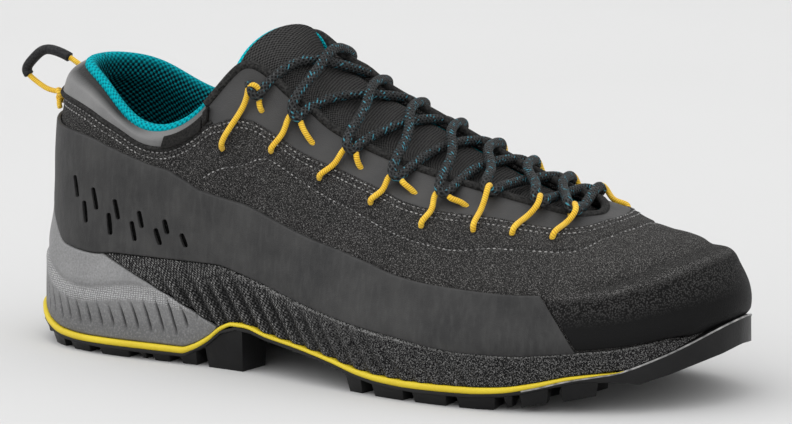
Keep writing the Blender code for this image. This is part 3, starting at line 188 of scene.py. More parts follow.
def cubic(knots, values, closed=False):
    """A natural or closed cubic spline through rows of values; a closed one has one knot more than rows."""
    knots = np.asarray(knots, float)
    values = np.asarray(values, float)
    if closed:
        values = np.vstack([values, values[:1]])
    steps = np.diff(knots)
    slopes = np.diff(values, axis=0) / steps[:, None]
    last = len(knots) - 1
    matrix = np.eye(last + 1)
    right = np.zeros_like(values)
    for i in range(1, last):
        matrix[i, i - 1 : i + 2] = steps[i - 1], 2 * (steps[i - 1] + steps[i]), steps[i]
        right[i] = 6 * (slopes[i] - slopes[i - 1])
    if closed:
        matrix[0, [0, 1, last - 1]] = 2 * (steps[-1] + steps[0]), steps[0], steps[-1]
        right[0] = 6 * (slopes[0] - slopes[-1])
        matrix[last, [0, last]] = -1, 1
    bend = np.linalg.solve(matrix, right)

    def at(t):
        t = np.asarray(t, float)
        if closed:
            t = knots[0] + (t - knots[0]) % (knots[-1] - knots[0])
        i = np.clip(np.searchsorted(knots, t) - 1, 0, last - 1)
        step = steps[i][..., None]
        b = (t - knots[i])[..., None]
        a = step - b
        return (
            (bend[i] * a**3 + bend[i + 1] * b**3) / (6 * step)
            + (values[i] / step - bend[i] * step / 6) * a
            + (values[i + 1] / step - bend[i + 1] * step / 6) * b
        )

    return at


def running_length(points):
    """Way from the first point to each point of a line."""
    ways = np.linalg.norm(np.diff(points, axis=0), axis=1)
    return np.concatenate([[0.0], np.cumsum(ways)])


def width_at(along):
    """Width of the last there: the heel's behind the waist, the ball's in front of it."""
    t = np.clip((np.asarray(along) - 0.33) / 0.32, 0, 1)
    return HEEL_WIDTH + (BALL_WIDTH - HEEL_WIDTH) * t * t * (3 - 2 * t)


def edge_rows():
    """The sole edge at each station, in metres from the heel's back."""
    return np.array([(row[1] * LENGTH, row[2] * width_at(row[1])) for row in STATIONS])


def station_knots():
    """Distance round the sole edge at each station, with the full round last."""
    corners = edge_rows()
    return running_length(np.vstack([corners, corners[:1]]))


COUNT = len(STATIONS)
TOE_TIP = COUNT // 2
KNOTS = station_knots()
EDGE = cubic(KNOTS, edge_rows(), closed=True)
MOUTH = cubic(
    KNOTS,
    [(row[3] * LENGTH, row[4] * width_at(row[3]), MOUTH_SIZES[row[5]] * row[6]) for row in STATIONS],
    closed=True,
)
WALL_SHARES = cubic(KNOTS, [row[7:] for row in STATIONS], closed=True)


def distance(stations):
    """Distance round the edge at a station number, which may have a fraction or be negative."""
    turns, rest = np.divmod(np.asarray(stations, float), COUNT)
    return turns * KNOTS[-1] + np.interp(rest, np.arange(COUNT + 1), KNOTS)


def height_of(rows, base, sizes):
    """A height line along the shoe: a base plus each named size times its column."""
    curves = [monotone(rows, 1 + i) for i in range(len(sizes))]

    def at(along):
        return base + sum(size * curve(along) for size, curve in zip(sizes, curves))

    return at


sole_top = height_of(SOLE_LINE, EDGE_RISE, (HEEL_BEVEL, ARCH_RISE, TOE_SPRING))
footbed = height_of(BED_LINE, BALL_STACK, (HEEL_STACK - BALL_STACK, TOE_SPRING))
cup_share = monotone(SIDE_LINE, 1)
lean_share = monotone(SIDE_LINE, 2)
step_low = monotone(SIDE_LINE, 3)
step_high = monotone(SIDE_LINE, 4)
strip_share = monotone(SIDE_LINE, 5)
toe_tuck = monotone(SIDE_LINE, 6)

# Place along the shoe where the coloured strip ends on both sides
STRIP_END = 0.884

# Joint of the heel foam and the frame: places along the shoe, and heights in shares of the cup and the arch
FOAM_BEND = 0.06
FOAM_FRONT = 0.341
FOAM_HIGH = 1.117
FOAM_LOW = 0.808

# The tongue's swell over its edges: by station, in shares of its rise
TONGUE_RISE = 0.015
TONGUE_ROWS = (
    (4.85, 1.0), (5.1, 0.87), (5.5, 0.53), (6.0, 0.27), (6.7, 0.17), (7.5, 0.13), (8.3, 0.1), (9.1, 0.07),
    (9.9, -0.1),
)
TONGUE_TUCK = 0.008

# Edges of the covers over the upper: station and level
CAP_LOW = (
    (9.98, 0.085), (10.6, 0.085), (11.3, 0.095), (12.0, 0.118), (12.7, 0.105), (13.4, 0.085), (14.02, 0.085),
)
CAP_HIGH = (
    (9.52, 0.375), (9.97, 0.44), (10.65, 0.485), (11.3, 0.495), (12.0, 0.47), (12.7, 0.495), (13.35, 0.485),
    (14.03, 0.44), (14.48, 0.375),
)
WRAP_FRONT = (9.91, 9.45)
WRAP_HIGH = (
    (0.0, 0.7), (1.15, 0.7), (1.75, 0.72), (2.32, 0.76), (2.91, 0.795), (3.37, 0.765), (3.69, 0.67),
    (3.99, 0.56), (4.79, 0.44), (5.47, 0.41), (6.11, 0.42), (6.66, 0.43), (7.2, 0.41), (7.66, 0.38),
    (8.12, 0.37), (8.97, 0.37), (9.6, 0.375),
)
COVER_TOP = 0.995
COLLAR_END = 4.12
COLLAR_LOW = (
    (0.0, 0.81), (0.6, 0.815), (1.51, 0.84), (2.13, 0.86), (2.75, 0.895), (3.17, 0.89), (3.42, 0.885),
    (3.67, 0.885), (4.2, 0.88),
)
EYESTAY_END = 4.3
EYESTAY_LOW = (
    (4.2, 0.86), (4.69, 0.81), (5.1, 0.785), (5.45, 0.775), (5.83, 0.78), (6.2, 0.8), (6.59, 0.815),
    (6.86, 0.81), (7.21, 0.795), (7.59, 0.77), (7.82, 0.77), (8.2, 0.785), (8.79, 0.815), (9.54, 0.82),
    (10.13, 0.85), (11.11, 0.89), (12.0, 0.9),
)

# Where the lace turns on the cord loops, heel to toe: station and level, outer side then inner side
OUTER_TURNS = (
    (5.22, 0.875), (5.85, 0.895), (6.67, 0.9), (7.37, 0.845), (8.04, 0.835), (8.59, 0.92), (9.33, 0.935),
    (10.07, 0.915),
)
# Where each cord loop comes out of the hide
OUTER_FEET = (
    (4.42, 0.7), (5.45, 0.685), (6.27, 0.715), (7.12, 0.7), (7.86, 0.655), (8.52, 0.7), (9.02, 0.725),
    (9.64, 0.735),
)

INNER_TURNS = (
    (18.42, 0.935), (17.86, 0.92), (17.33, 0.905), (16.8, 0.885), (16.28, 0.87), (15.8, 0.86), (15.28, 0.855),
    (14.78, 0.85),
)
INNER_FEET = (
    (19.45, 0.73), (18.55, 0.71), (17.8, 0.73), (17.05, 0.73), (16.3, 0.71), (15.6, 0.74), (15.02, 0.76),
    (14.38, 0.76),
)

# Corners of the sewn patches: lower edge, then upper edge
LABEL = ((3.36, 0.876), (4.0, 0.872), (3.42, 0.957), (4.04, 0.95))
FOLDED_TAB = ((4.05, 0.885), (4.16, 0.885), (4.08, 0.96), (4.19, 0.955))
HEEL_TAB = ((-0.16, 0.752), (0.16, 0.752), (-0.13, 0.835), (0.13, 0.835))

# Columns of the upper and its lining round the shoe
AROUND = 432
# The photograph's view: turn and rise in degrees, distance in metres, lens in mm, and the point looked at
SHOE_TURN = 29
SHOE_RISE = 10.2
CAMERA_AWAY = 1.5
CAMERA_LENS = 181.7
LOOK_AT = (0.113, 0.0, 0.0592)

def blend(along, ends):
    """A soft step from 0 at the first end to 1 at the second."""
    t = np.clip((along - ends[0]) / (ends[1] - ends[0]), 0, 1)
    return t * t * (3 - 2 * t)


def strip_thickness(along):
    """Thickness of the coloured strip."""
    return STRIP * strip_share(along)


def midsole_bottom(along):
    """Underside of the midsole, over the strip."""
    cover = (strip_thickness(along) + GAP) * (1 - blend(along, (STRIP_END + 0.004, 0.905)))
    return sole_top(along) + GAP + cover


def lip_height(along):
    """Top of the midsole's lip round the upper."""
    return np.maximum(footbed(along) + cup_share(along) * CUP_RISE, midsole_bottom(along) + LIP)


def lip_lean(along):
    """How far the lip leans inwards."""
    return lean_share(along) * SIDE_LEAN


def edge_frame(stations):
    """Sole edge points, their inward directions, and their places along the shoe."""
    t = distance(stations)
    points = EDGE(t)
    ahead = EDGE(t + 1e-4) - EDGE(t - 1e-4)
    ahead /= np.linalg.norm(ahead, axis=1)[:, None]
    inward = np.stack([-ahead[:, 1], ahead[:, 0]], axis=1)
    return points, inward, np.clip(points[:, 0] / LENGTH, 0, 1)


def placed(points):
    """Moves points from the heel's back to the part's frame, whose origin is under the heel."""
    return np.asarray(points) - (HEEL_REST * LENGTH, 0, 0)


def section_points(stations):
    """Six points of the upper's outer face at each station: foot, lip, three on the wall, mouth."""
    points, inward, along = edge_frame(stations)
    t = distance(stations)
    mouth = MOUTH(t)
    shares = WALL_SHARES(t)
    bed = footbed(along)
    lip = lip_height(along)
    hold = lip_lean(along) + LIP + GAP
    rows = [
        np.column_stack([points + inward * (hold + FOOT_TUCK)[:, None], bed + GAP]),
        np.column_stack([points + inward * hold[:, None], lip]),
    ]
    for i in (0, 2, 4):
        plan = points + (mouth[:, :2] - points) * shares[:, i, None]
        rows.append(np.column_stack([plan, bed + (mouth[:, 2] - bed) * shares[:, i + 1]]))
    rows.append(mouth)
    return np.stack(rows, axis=1)


def upper_at(stations, levels):
    """Outer face of the upper, one row for each station: level 0 is its foot and level 1 its mouth."""
    levels = np.broadcast_to(levels, (len(stations), np.shape(levels)[-1]))
    points = section_points(stations)
    ways = np.linalg.norm(np.diff(points, axis=1), axis=2)
    ways /= ways.sum(axis=1)[:, None]
    knots = np.concatenate([np.zeros((len(points), 1)), np.cumsum(ways, axis=1)], axis=1)
    slopes = np.diff(points, axis=1) / ways[..., None]
    last = points.shape[1] - 1
    matrix = np.tile(np.eye(last + 1), (len(points), 1, 1))
    right = np.zeros_like(points)
    for i in range(1, last):
        matrix[:, i, i - 1] = ways[:, i - 1]
        matrix[:, i, i] = 2 * (ways[:, i - 1] + ways[:, i])
        matrix[:, i, i + 1] = ways[:, i]
        right[:, i] = 6 * (slopes[:, i] - slopes[:, i - 1])
    bend = np.linalg.solve(matrix, right)
    i = np.clip((levels[..., None] > knots[:, None]).sum(axis=2) - 1, 0, last - 1)
    at = np.arange(len(points))[:, None]
    step = ways[at, i][..., None]
    b = (levels - knots[at, i])[..., None]
    a = step - b
    return (
        (bend[at, i] * a**3 + bend[at, i + 1] * b**3) / (6 * step)
        + (points[at, i] / step - bend[at, i] * step / 6) * a
        + (points[at, i + 1] / step - bend[at, i + 1] * step / 6) * b
    )


def upper_normals(stations, levels):
    """Outward directions of the upper's outer face."""
    levels = np.broadcast_to(levels, (len(stations), np.shape(levels)[-1]))
    round_way = upper_at(stations + 0.02, levels) - upper_at(stations - 0.02, levels)
    up_way = upper_at(stations, levels + 0.005) - upper_at(stations, levels - 0.005)
    normals = np.cross(round_way, up_way)
    return normals / np.linalg.norm(normals, axis=2)[..., None]


def level_of(stations, heights):
    """The level at which each station's section reaches a height."""
    levels = np.linspace(0, 1, 81)
    rises = upper_at(stations, levels)[..., 2]
    return np.array([np.interp(height, rise, levels) for height, rise in zip(heights, rises)])


def depth_level(stations, depth):
    """The level that lies a given way below the mouth, measured along the section."""
    levels = np.linspace(0, 1, 61)
    points = upper_at(stations, levels)
    ways = np.linalg.norm(np.diff(points, axis=1), axis=2)
    left = np.cumsum(ways[:, ::-1], axis=1)[:, ::-1]
    left = np.concatenate([left, np.zeros((len(stations), 1))], axis=1)
    return np.array([np.interp(-depth, -row, levels) for row in left])


def on_upper(stations, levels, lift):
    """Points at a height over the upper's outer face, one for each station and level."""
    levels = np.reshape(levels, (-1, 1))
    return (upper_at(stations, levels) + upper_normals(stations, levels) * lift)[:, 0]


def spot(station, level, lift):
    """One point at a height over the upper's outer face."""
    return on_upper(np.array([station]), [level], lift)[0]


def mirrored(curve, stations):
    """A level curve given for the outer side, read on both sides."""
    turned = np.abs(np.where(stations > TOE_TIP, COUNT - stations, stations))
    return curve(turned)


def tongue_row(station, shares):
    """Points across the tongue's outer face at one station, tucked under the throat's edge at both ends."""
    under = WALL + 3.3 * GAP
    pair = np.array([station, COUNT - station])
    tuck = depth_level(pair, TONGUE_TUCK)
    levels = np.column_stack([tuck, [0.99, 0.99]])
    sides = upper_at(pair, levels) - upper_normals(pair, levels) * under
    near = np.array([station + 0.1, COUNT - station - 0.1])
    ahead = upper_at(near, [0.99])[:, 0].mean(axis=0) - upper_at(pair, [0.99])[:, 0].mean(axis=0)
    out = np.cross(sides[1, 1] - sides[0, 1], ahead)
    out /= np.linalg.norm(out) * (1 if out[2] > 0 else -1)
    middle = sides[:, 1].mean(axis=0) + out * tongue_bulge(station) * TONGUE_RISE
    corners = np.array([sides[0, 0], sides[0, 1], middle, sides[1, 1], sides[1, 0]])
    knots = running_length(corners)
    return cubic(knots, corners)(shares * knots[-1]), out


def surface_frame(station, level):
    """Directions on the upper at one place: toward the toe, up toward the mouth, and out of the surface."""
    stations = station + np.array([-0.02, 0.0, 0.0, 0.02])
    points = on_upper(stations, [level, level - 0.01, level + 0.01, level], 0)
    toeward = (points[3] - points[0]) * (1 if station < TOE_TIP else -1)
    upward = points[2] - points[1]
    out = upper_normals(stations[1:2], [level])[0, 0]
    return toeward / np.linalg.norm(toeward), upward / np.linalg.norm(upward), out


def turn_points(turn, outside):
    """The lace's fold in a cord loop, from its rear arm to its front one; one arm lies on the other."""
    toeward, upward, out = surface_frame(*turn)
    middle = spot(*turn, LACE_LIFT if outside else INNER_LIFT)
    shape = ((-0.5, 1.05, 0.55), (-0.34, 0.15, 0.25), (0.34, 0.15, 0.0), (0.55, 1.05, 0.0))
    if not outside:
        shape = ((-0.55, 1.05, 0.0), (-0.34, 0.15, 0.0), (0.34, 0.15, 0.25), (0.5, 1.05, 0.55))
    return [
        middle + (toeward * ahead + upward * rise) * TURN + out * lift * LACE
        for ahead, rise, lift in shape
    ]


def crossing_points(outer, inner):
    """Two points of a lace strand over the tongue, from its outer turn to its inner one.

    The strand that runs back toward the ankle lies on top at the crossing.
    """
    first = OUTER_TURNS[outer][0]
    last = COUNT - INNER_TURNS[inner][0]
    lift = LACE / 2 + 5 * GAP + (LACE * LACE_STACK if outer > inner else 0)
    points = []
    for share in (0.3, 0.7):
        across = TONGUE_MARGIN + (1 - 2 * TONGUE_MARGIN) * share
        spots, out = tongue_row(first + (last - first) * share, np.array([across]))
        points.append(spots[0] + out * lift)
    return points


def lace_route(starts_outside):
    """Route of one half of the lace, from its top loop down to the middle of the toe bar."""
    route = []
    outside = starts_outside
    turns = len(OUTER_TURNS)
    for i in range(turns):
        route += turn_points((OUTER_TURNS if outside else INNER_TURNS)[i], outside)
        if i < turns - 1:
            strand = crossing_points(i, i + 1) if outside else crossing_points(i + 1, i)[::-1]
            route += strand
        outside = not outside
    first = OUTER_TURNS[-1][0]
    last = COUNT - INNER_TURNS[-1][0]
    spots, out = tongue_row((first + last) / 2 + TOE_BAR, np.array([0.5]))
    route.append(spots[0] + out * (LACE / 2 + LACE * LACE_STACK))
    return route


# Materials


def add(look, kind, settings=None, **inputs):
    """A shader node with its settings and inputs; an input that is a socket is linked."""
    tree = look.node_tree
    node = tree.nodes.new(kind)
    for name, value in (settings or {}).items():
        setattr(node, name, value)
    for name, value in inputs.items():
        numbered = name[0] == "i" and name[1:].isdigit()
        socket = node.inputs[int(name[1:]) if numbered else name.replace("_", " ")]
        if isinstance(value, bpy.types.NodeSocket):
            tree.links.new(value, socket)
        else:
            socket.default_value = value
    return node


def shader(name, roughness=0.6, **sockets):
    """A Principled material with its plain values on its own sockets."""
    look = bpy.data.materials.new(name)
    look.use_nodes = True
    surface = look.node_tree.nodes["Principled BSDF"]
    surface.inputs["Roughness"].default_value = roughness
    for socket, value in sockets.items():
        surface.inputs[socket.replace("_", " ")].default_value = value
    return look


def link(look, socket, output):
    """Feeds a socket of the material's surface."""
    surface = look.node_tree.nodes["Principled BSDF"]
    look.node_tree.links.new(output, surface.inputs[socket])


def place(look):
    """Place in the object, in metres."""
    return add(look, "ShaderNodeTexCoord").outputs["Object"]


def surface_place(look):
    """The piece's own surface coordinates, in metres."""
    return add(look, "ShaderNodeUVMap", {"uv_map": "cloth"}).outputs["UV"]


def stretched(look, where, scale):
    """A place with a scale of its own along each axis."""
    return add(look, "ShaderNodeMapping", Vector=where, Scale=scale).outputs["Vector"]


def parts(look, where):
    """The three numbers of a place."""
    return add(look, "ShaderNodeSeparateXYZ", Vector=where).outputs


def noise(look, scale, detail=2.0, where=None, rough=0.5):
    """Cloudy noise with a scale in repeats per metre."""
    settings = {"Vector": where or place(look), "Scale": scale, "Detail": detail, "Roughness": rough}
    return add(look, "ShaderNodeTexNoise", **settings).outputs["Fac"]


def cells(look, scale, where=None, randomness=1.0):
    """Distance from the middles of scattered cells."""
    settings = {"Vector": where or place(look), "Scale": scale, "Randomness": randomness}
    return add(look, "ShaderNodeTexVoronoi", **settings).outputs["Distance"]


def steps(look, factor, low, high, start=0.0, end=1.0):
    """A factor stretched so that low becomes start and high becomes end."""
    node = add(look, "ShaderNodeMapRange", i0=factor, i1=low, i2=high, i3=start, i4=end)
    return node.outputs["Result"]


def mix(look, factor, first, second):
    """Colour between two colours, each a tuple or a socket."""
    node = add(look, "ShaderNodeMix", {"data_type": "RGBA"}, i0=factor)
    for index, colour in ((6, first), (7, second)):
        if isinstance(colour, bpy.types.NodeSocket):
            look.node_tree.links.new(colour, node.inputs[index])
        else:
            node.inputs[index].default_value = (*colour, 1.0)
    return node.outputs[2]


def tint(look, factor, low, high, first, second, strength=1.0):
    """Colour that goes from first toward second where the factor climbs from low to high."""
    return mix(look, steps(look, factor, low, high, 0.0, strength), first, second)


def sums(look, operation, first, second):
    return add(look, "ShaderNodeMath", {"operation": operation}, i0=first, i1=second).outputs[0]


def times(look, first, second):
    return sums(look, "MULTIPLY", first, second)


def plus(look, first, second):
    return sums(look, "ADD", first, second)


def full_wave(look, turns):
    """A sine from 0 to 1 with one wave per turn."""
    return sums(look, "MULTIPLY_ADD", sums(look, "SINE", times(look, turns, 2 * math.pi), 0.0), 0.5)


def bump(look, height, distance, strength=1.0, under=None):
    """Relief of a height, in metres, over the relief under it."""
    node = add(look, "ShaderNodeBump", Height=height, Distance=distance, Strength=strength)
    if under:
        look.node_tree.links.new(under, node.inputs["Normal"])
    return node.outputs["Normal"]


def cloth_place(look, across, along):
    """Surface coordinates scaled to a pattern's repeats per metre."""
    return stretched(look, surface_place(look), (across, along, 1.0))


def waves(look, where, axis, offset=0.0):
    """A sine from 0 to 1 along one axis of a scaled place, with one wave per unit."""
    return full_wave(look, plus(look, parts(look, where)[axis], offset))


def staggered(look, where):
    """Rows of raised spots on a scaled place, each row set in the gaps of the last."""
    sets = [times(look, waves(look, where, 0, by), waves(look, where, 1, by)) for by in (0.0, 0.5)]
    return plus(look, *sets)


def attribute(look, name):
    """A mark of the mesh."""
    return add(look, "ShaderNodeAttribute", {"attribute_name": name}).outputs["Fac"]


def hide_colour(look):
    """Napped hide: dark nap with pale fibre flecks, lighter over the toe as painted light from above; gives
    its colour and flecks.
    """
    flecks = noise(look, 2500, 2.0, rough=0.75)
    nap = noise(look, 42, 3.0)
    broad = noise(look, 9, 2.0)
    # Painted highlight: the hide is made lighter over the toe, where light from above falls.
    toe = steps(look, parts(look, place(look))[0], 0.15, 0.21)
    base = tint(look, nap, 0.35, 0.68, (0.0145, 0.0145, 0.015), (0.025, 0.0245, 0.024))
    base = tint(look, broad, 0.3, 0.7, base, (0.031, 0.0295, 0.028), 0.5)
    base = mix(look, times(look, toe, 0.55), base, (0.05, 0.0485, 0.047))
    colour = tint(look, flecks, 0.54, 0.68, base, (0.21, 0.205, 0.2))
    dark = steps(look, flecks, 0.36, 0.5, 0.92, 0.0)
    return mix(look, dark, colour, (0.0055, 0.0055, 0.006)), flecks


def suede():
    """Charcoal nubuck of the upper."""
    look = shader("upper_suede", 0.9, Specular_IOR_Level=0.1)
    colour, flecks = hide_colour(look)
    link(look, "Base Color", colour)
    fine = bump(look, flecks, 0.0005, 0.8)
    link(look, "Normal", bump(look, noise(look, 420, 2.0), 0.0005, 0.5, fine))
    return look


def pebbled():
    """Cap hide: like the upper at its top, pressed to a dark pebbled grain below and smooth at its foot, where
    it is near black, partly its own colour and partly painted shade; a painted highlight runs along the
    ridge's crest.
    """
    look = shader("cap_suede", 0.7, Specular_IOR_Level=0.1)
    low = attribute(look, "painted_light_and_grain")
    colour, flecks = hide_colour(look)
    colour = mix(look, 0.35, colour, (0.01, 0.01, 0.01))
    grain = cells(look, 1500)
    pebbles = steps(look, low, 0.04, 0.26)
    smooth = steps(look, low, 0.45, 0.85)
    dark = tint(look, grain, 0.2, 0.6, (0.06, 0.059, 0.058), (0.007, 0.007, 0.007))
    # Painted highlight: pale flecks along the ridge's crest.
    crest = times(look, steps(look, low, 0.0, 0.06), steps(look, low, 0.1, 0.22, 1.0, 0.0))
    painted_crest_highlight = times(look, crest, steps(look, flecks, 0.5, 0.64, 0.0, 0.6))
    colour = mix(look, painted_crest_highlight, mix(look, pebbles, colour, dark), (0.24, 0.235, 0.23))
    # Partly the cap's own black, partly painted shade: the cap darkens to near black toward its foot.
    link(look, "Base Color", mix(look, smooth, colour, (0.005, 0.005, 0.0052)))
    link(look, "Roughness", steps(look, low, 0.1, 0.9, 0.82, 0.5))
    fine = bump(look, flecks, 0.0005, 0.6)
    level = times(look, grain, sums(look, "SUBTRACT", 1.0, smooth))
    link(look, "Normal", bump(look, level, 0.0008, 0.7, fine))
    return look


def band():
    """Smooth matte band: dark grey, faintly brushed and mottled, with a few scuffs."""
    look = shader("band_synthetic", 0.56, Specular_IOR_Level=0.2)
    cloud = noise(look, 55, 4.0, rough=0.6)
    streak = noise(look, 1.0, 3.0, where=stretched(look, place(look), (500, 500, 110)), rough=0.6)
    base = tint(look, cloud, 0.32, 0.68, (0.027, 0.027, 0.0275), (0.05, 0.0495, 0.049))
    link(look, "Base Color", tint(look, streak, 0.45, 0.75, base, (0.085, 0.084, 0.083), 0.25))
    link(look, "Roughness", steps(look, cloud, 0.3, 0.7, 0.48, 0.64))
    fine = bump(look, cells(look, 2600), 0.00012, 0.5)
    link(look, "Normal", bump(look, noise(look, 260, 3.0), 0.00045, 0.4, fine))
    return look


def glossy_panel():
    """Grey coated leather of the collar: fine grain with a soft gloss, with a painted highlight that leaves it
    paler round the heel than toward the front, and painted shade in its fold.
    """
    look = shader("panel_leather", 0.4, Specular_IOR_Level=0.16)
    cloud = noise(look, 60, 3.0)
    colour = tint(look, cloud, 0.3, 0.7, (0.15, 0.15, 0.151), (0.215, 0.214, 0.213))
    # Painted highlight: the panel is paler round the heel and darker toward the front.
    front = parts(look, place(look))[0]
    colour = tint(look, front, 0.026, 0.05, colour, (0.085, 0.084, 0.083))
    # Painted shade: the panel is darkened in its fold beside the lining's roll.
    colour = tint(look, attribute(look, "painted_light_and_grain"), 0.0, 0.9, colour, (0.004, 0.004, 0.004), 0.92)
    link(look, "Base Color", colour)
    link(look, "Roughness", steps(look, cloud, 0.3, 0.7, 0.34, 0.48))
    fine = bump(look, cells(look, 1500), 0.00018, 0.45)
    link(look, "Normal", bump(look, noise(look, 160, 2.0), 0.0006, 0.35, fine))
    return look


def facing():
    """Smooth dark facing under the cord loops."""
    look = shader("eyestay_suede", 0.5, Specular_IOR_Level=0.25)
    cloud = noise(look, 50, 3.0)
    link(look, "Base Color", tint(look, cloud, 0.3, 0.7, (0.036, 0.036, 0.037), (0.056, 0.055, 0.054)))
    fine = bump(look, cells(look, 2200), 0.00014, 0.5)
    link(look, "Normal", bump(look, noise(look, 200, 2.0), 0.0005, 0.4, fine))
    return look


def knit(name, light, dark, across, along, contrast=(0.25, 0.75), inside_shade_colours=None):
    """Knit fabric: staggered loops in rows, light on the raised loops and dark between them, and darkened deep
    inside by painted shade.
    """
    look = shader(name, 0.9, Specular_IOR_Level=0.08)
    where = cloth_place(look, across, along)
    wander = add(look, "ShaderNodeVectorMath", {"operation": "SCALE"}, Scale=0.35)
    cloud = add(look, "ShaderNodeTexNoise", Vector=where, Scale=0.6, Detail=1.0)
    look.node_tree.links.new(cloud.outputs["Color"], wander.inputs[0])
    where = add(look, "ShaderNodeVectorMath", {"operation": "ADD"}, i0=where, i1=wander.outputs[0]).outputs[0]
    loops = staggered(look, where)
    fuzz = noise(look, 1800, 2.0, rough=0.6)
    height = plus(look, loops, times(look, fuzz, 0.35))
    colour = tint(look, loops, *contrast, dark, light)
    colour = tint(look, fuzz, 0.35, 0.75, colour, tuple(c * 1.5 for c in light), 0.45)
    # Painted shade: rows marked as lying inside take darker colours.
    if inside_shade_colours:
        shaded_inside_colour = tint(look, loops, 0.4, 0.8, *inside_shade_colours)
        colour = mix(look, attribute(look, "painted_inside_shade"), colour, shaded_inside_colour)
    link(look, "Base Color", colour)
    link(look, "Normal", bump(look, height, 0.0005, 0.9))
    return look


def braid():
    """Round braided lace: black and grey plaits with teal flecks along it."""
    look = shader("lace_braid", 0.7, Specular_IOR_Level=0.2)
    where = surface_place(look)
    across, along = parts(look, where)[:2]
    lanes = [plus(look, times(look, along, 480 * lean), times(look, across, 6.0)) for lean in (1.0, -1.0)]
    plaits = [full_wave(look, lane) for lane in lanes]
    plait = sums(look, "MAXIMUM", *plaits)
    patch = noise(look, 1.0, 1.0, where=stretched(look, where, (7.0, 240.0, 1.0)))
    fleck = noise(look, 900, 1.0)
    base = tint(look, plait, 0.35, 0.95, (0.004, 0.004, 0.0045), (0.034, 0.036, 0.037))
    teal = times(look, steps(look, patch, 0.56, 0.64), steps(look, plaits[0], 0.55, 0.85))
    colour = mix(look, teal, base, (0.045, 0.23, 0.3))
    link(look, "Base Color", tint(look, fleck, 0.58, 0.7, colour, (0.13, 0.135, 0.135), 0.35))
    link(look, "Normal", bump(look, plait, 0.0006, 0.9))
    return look


def twisted_cord():
    """Yellow cord with a tight spiral sheath."""
    look = shader("loop_cord", 0.55, Sheen_Weight=0.15)
    across, along = parts(look, surface_place(look))[:2]
    wave = full_wave(look, plus(look, times(look, along, 1300.0), times(look, across, 2.0)))
    cloud = noise(look, 300, 2.0)
    base = tint(look, wave, 0.1, 0.8, (0.6, 0.31, 0.004), (0.93, 0.58, 0.012))
    link(look, "Base Color", tint(look, cloud, 0.4, 0.7, base, (1.0, 0.72, 0.06), 0.35))
    link(look, "Normal", bump(look, wave, 0.00025, 0.8))
    return look


def thread():
    """Pale grey thread, paler in places."""
    look = shader("stitch_thread", 0.7, Sheen_Weight=0.2)
    cloud = noise(look, 700, 1.0)
    link(look, "Base Color", tint(look, cloud, 0.38, 0.62, (0.06, 0.06, 0.06), (0.34, 0.335, 0.33)))
    return look


def foam(name, low, high, grain, roughness, painted_low_shade=0.0):
    """Moulded foam with a fine sandy surface, stippled where its marks say so; painted shade darkens its slits
    and, by the shade share, its lower part.
    """
    look = shader(name, roughness, Specular_IOR_Level=0.3)
    cloud = noise(look, 45, 3.0)
    sand = noise(look, 1300, 2.5, rough=0.65)
    stipple = attribute(look, "stipple")
    dots = cells(look, 1, where=cloth_place(look, 900, 1300), randomness=0.25)
    base = tint(look, cloud, 0.3, 0.7, low, high)
    # Painted shade: the foam darkens toward its bottom.
    if painted_low_shade:
        tall = parts(look, place(look))[2]
        base = mix(look, steps(look, tall, 0.012, 0.027, painted_low_shade, 0.0), base, (0.03, 0.03, 0.031))
    light = tuple(min(1, c * 2.2) for c in high)
    colour = tint(look, sand, 0.5, 0.75, base, light, grain)
    dark_grain = steps(look, sand, 0.3, 0.48, grain * 1.4, 0.0)
    colour = mix(look, dark_grain, colour, tuple(c * 0.4 for c in low))
    spots = times(look, stipple, steps(look, dots, 0.25, 0.5, 0.75, 0.0))
    colour = mix(look, spots, colour, light)
    # Painted shade on the slits' floors.
    link(look, "Base Color", mix(look, attribute(look, "painted_slit_shade"), colour, tuple(c * 0.09 for c in low)))
    raised = times(look, stipple, steps(look, dots, 0.15, 0.5, 1.0, 0.0))
    link(look, "Normal", bump(look, raised, 0.0004, 0.8, bump(look, sand, 0.0003, 0.5)))
    return look


def woven_frame():
    """Black moulded frame: raised oval threads in slanting rows, short curls toward the toe."""
    look = shader("frame_foam", 0.6, Specular_IOR_Level=0.15)
    along, up = parts(look, surface_place(look))[:2]
    wander = times(look, noise(look, 420, 2.0), 0.0022)
    lane = plus(look, plus(look, along, wander), times(look, up, RIB_LEAN))
    turned = add(look, "ShaderNodeCombineXYZ", X=times(look, lane, 760), Y=times(look, up, 620)).outputs[0]
    dots = staggered(look, turned)
    broken = noise(look, 1500, 2.5, rough=0.7)
    shown = times(look, steps(look, dots, 0.35, 0.85), steps(look, broken, 0.4, 0.58))
    shown = times(look, shown, steps(look, attribute(look, "rib"), 0.1, 0.9, 0.25, 1.0))
    front = steps(look, parts(look, place(look))[0], 0.085, 0.135)
    curls = steps(look, noise(look, 2300, 1.5, rough=0.6), 0.5, 0.62, 0.0, 0.6)
    shown = plus(look, times(look, shown, sums(look, "SUBTRACT", 1.0, front)), times(look, curls, front))
    edge = times(look, attribute(look, "rim"), steps(look, broken, 0.45, 0.55, 0.0, 0.9))
    shown = sums(look, "MAXIMUM", shown, edge)
    link(look, "Base Color", mix(look, shown, (0.004, 0.004, 0.0045), (0.27, 0.267, 0.263)))
    link(look, "Roughness", steps(look, shown, 0.0, 1.0, 0.7, 0.5))
    link(look, "Normal", bump(look, plus(look, dots, times(look, broken, 0.5)), 0.0006, 0.9))
    return look


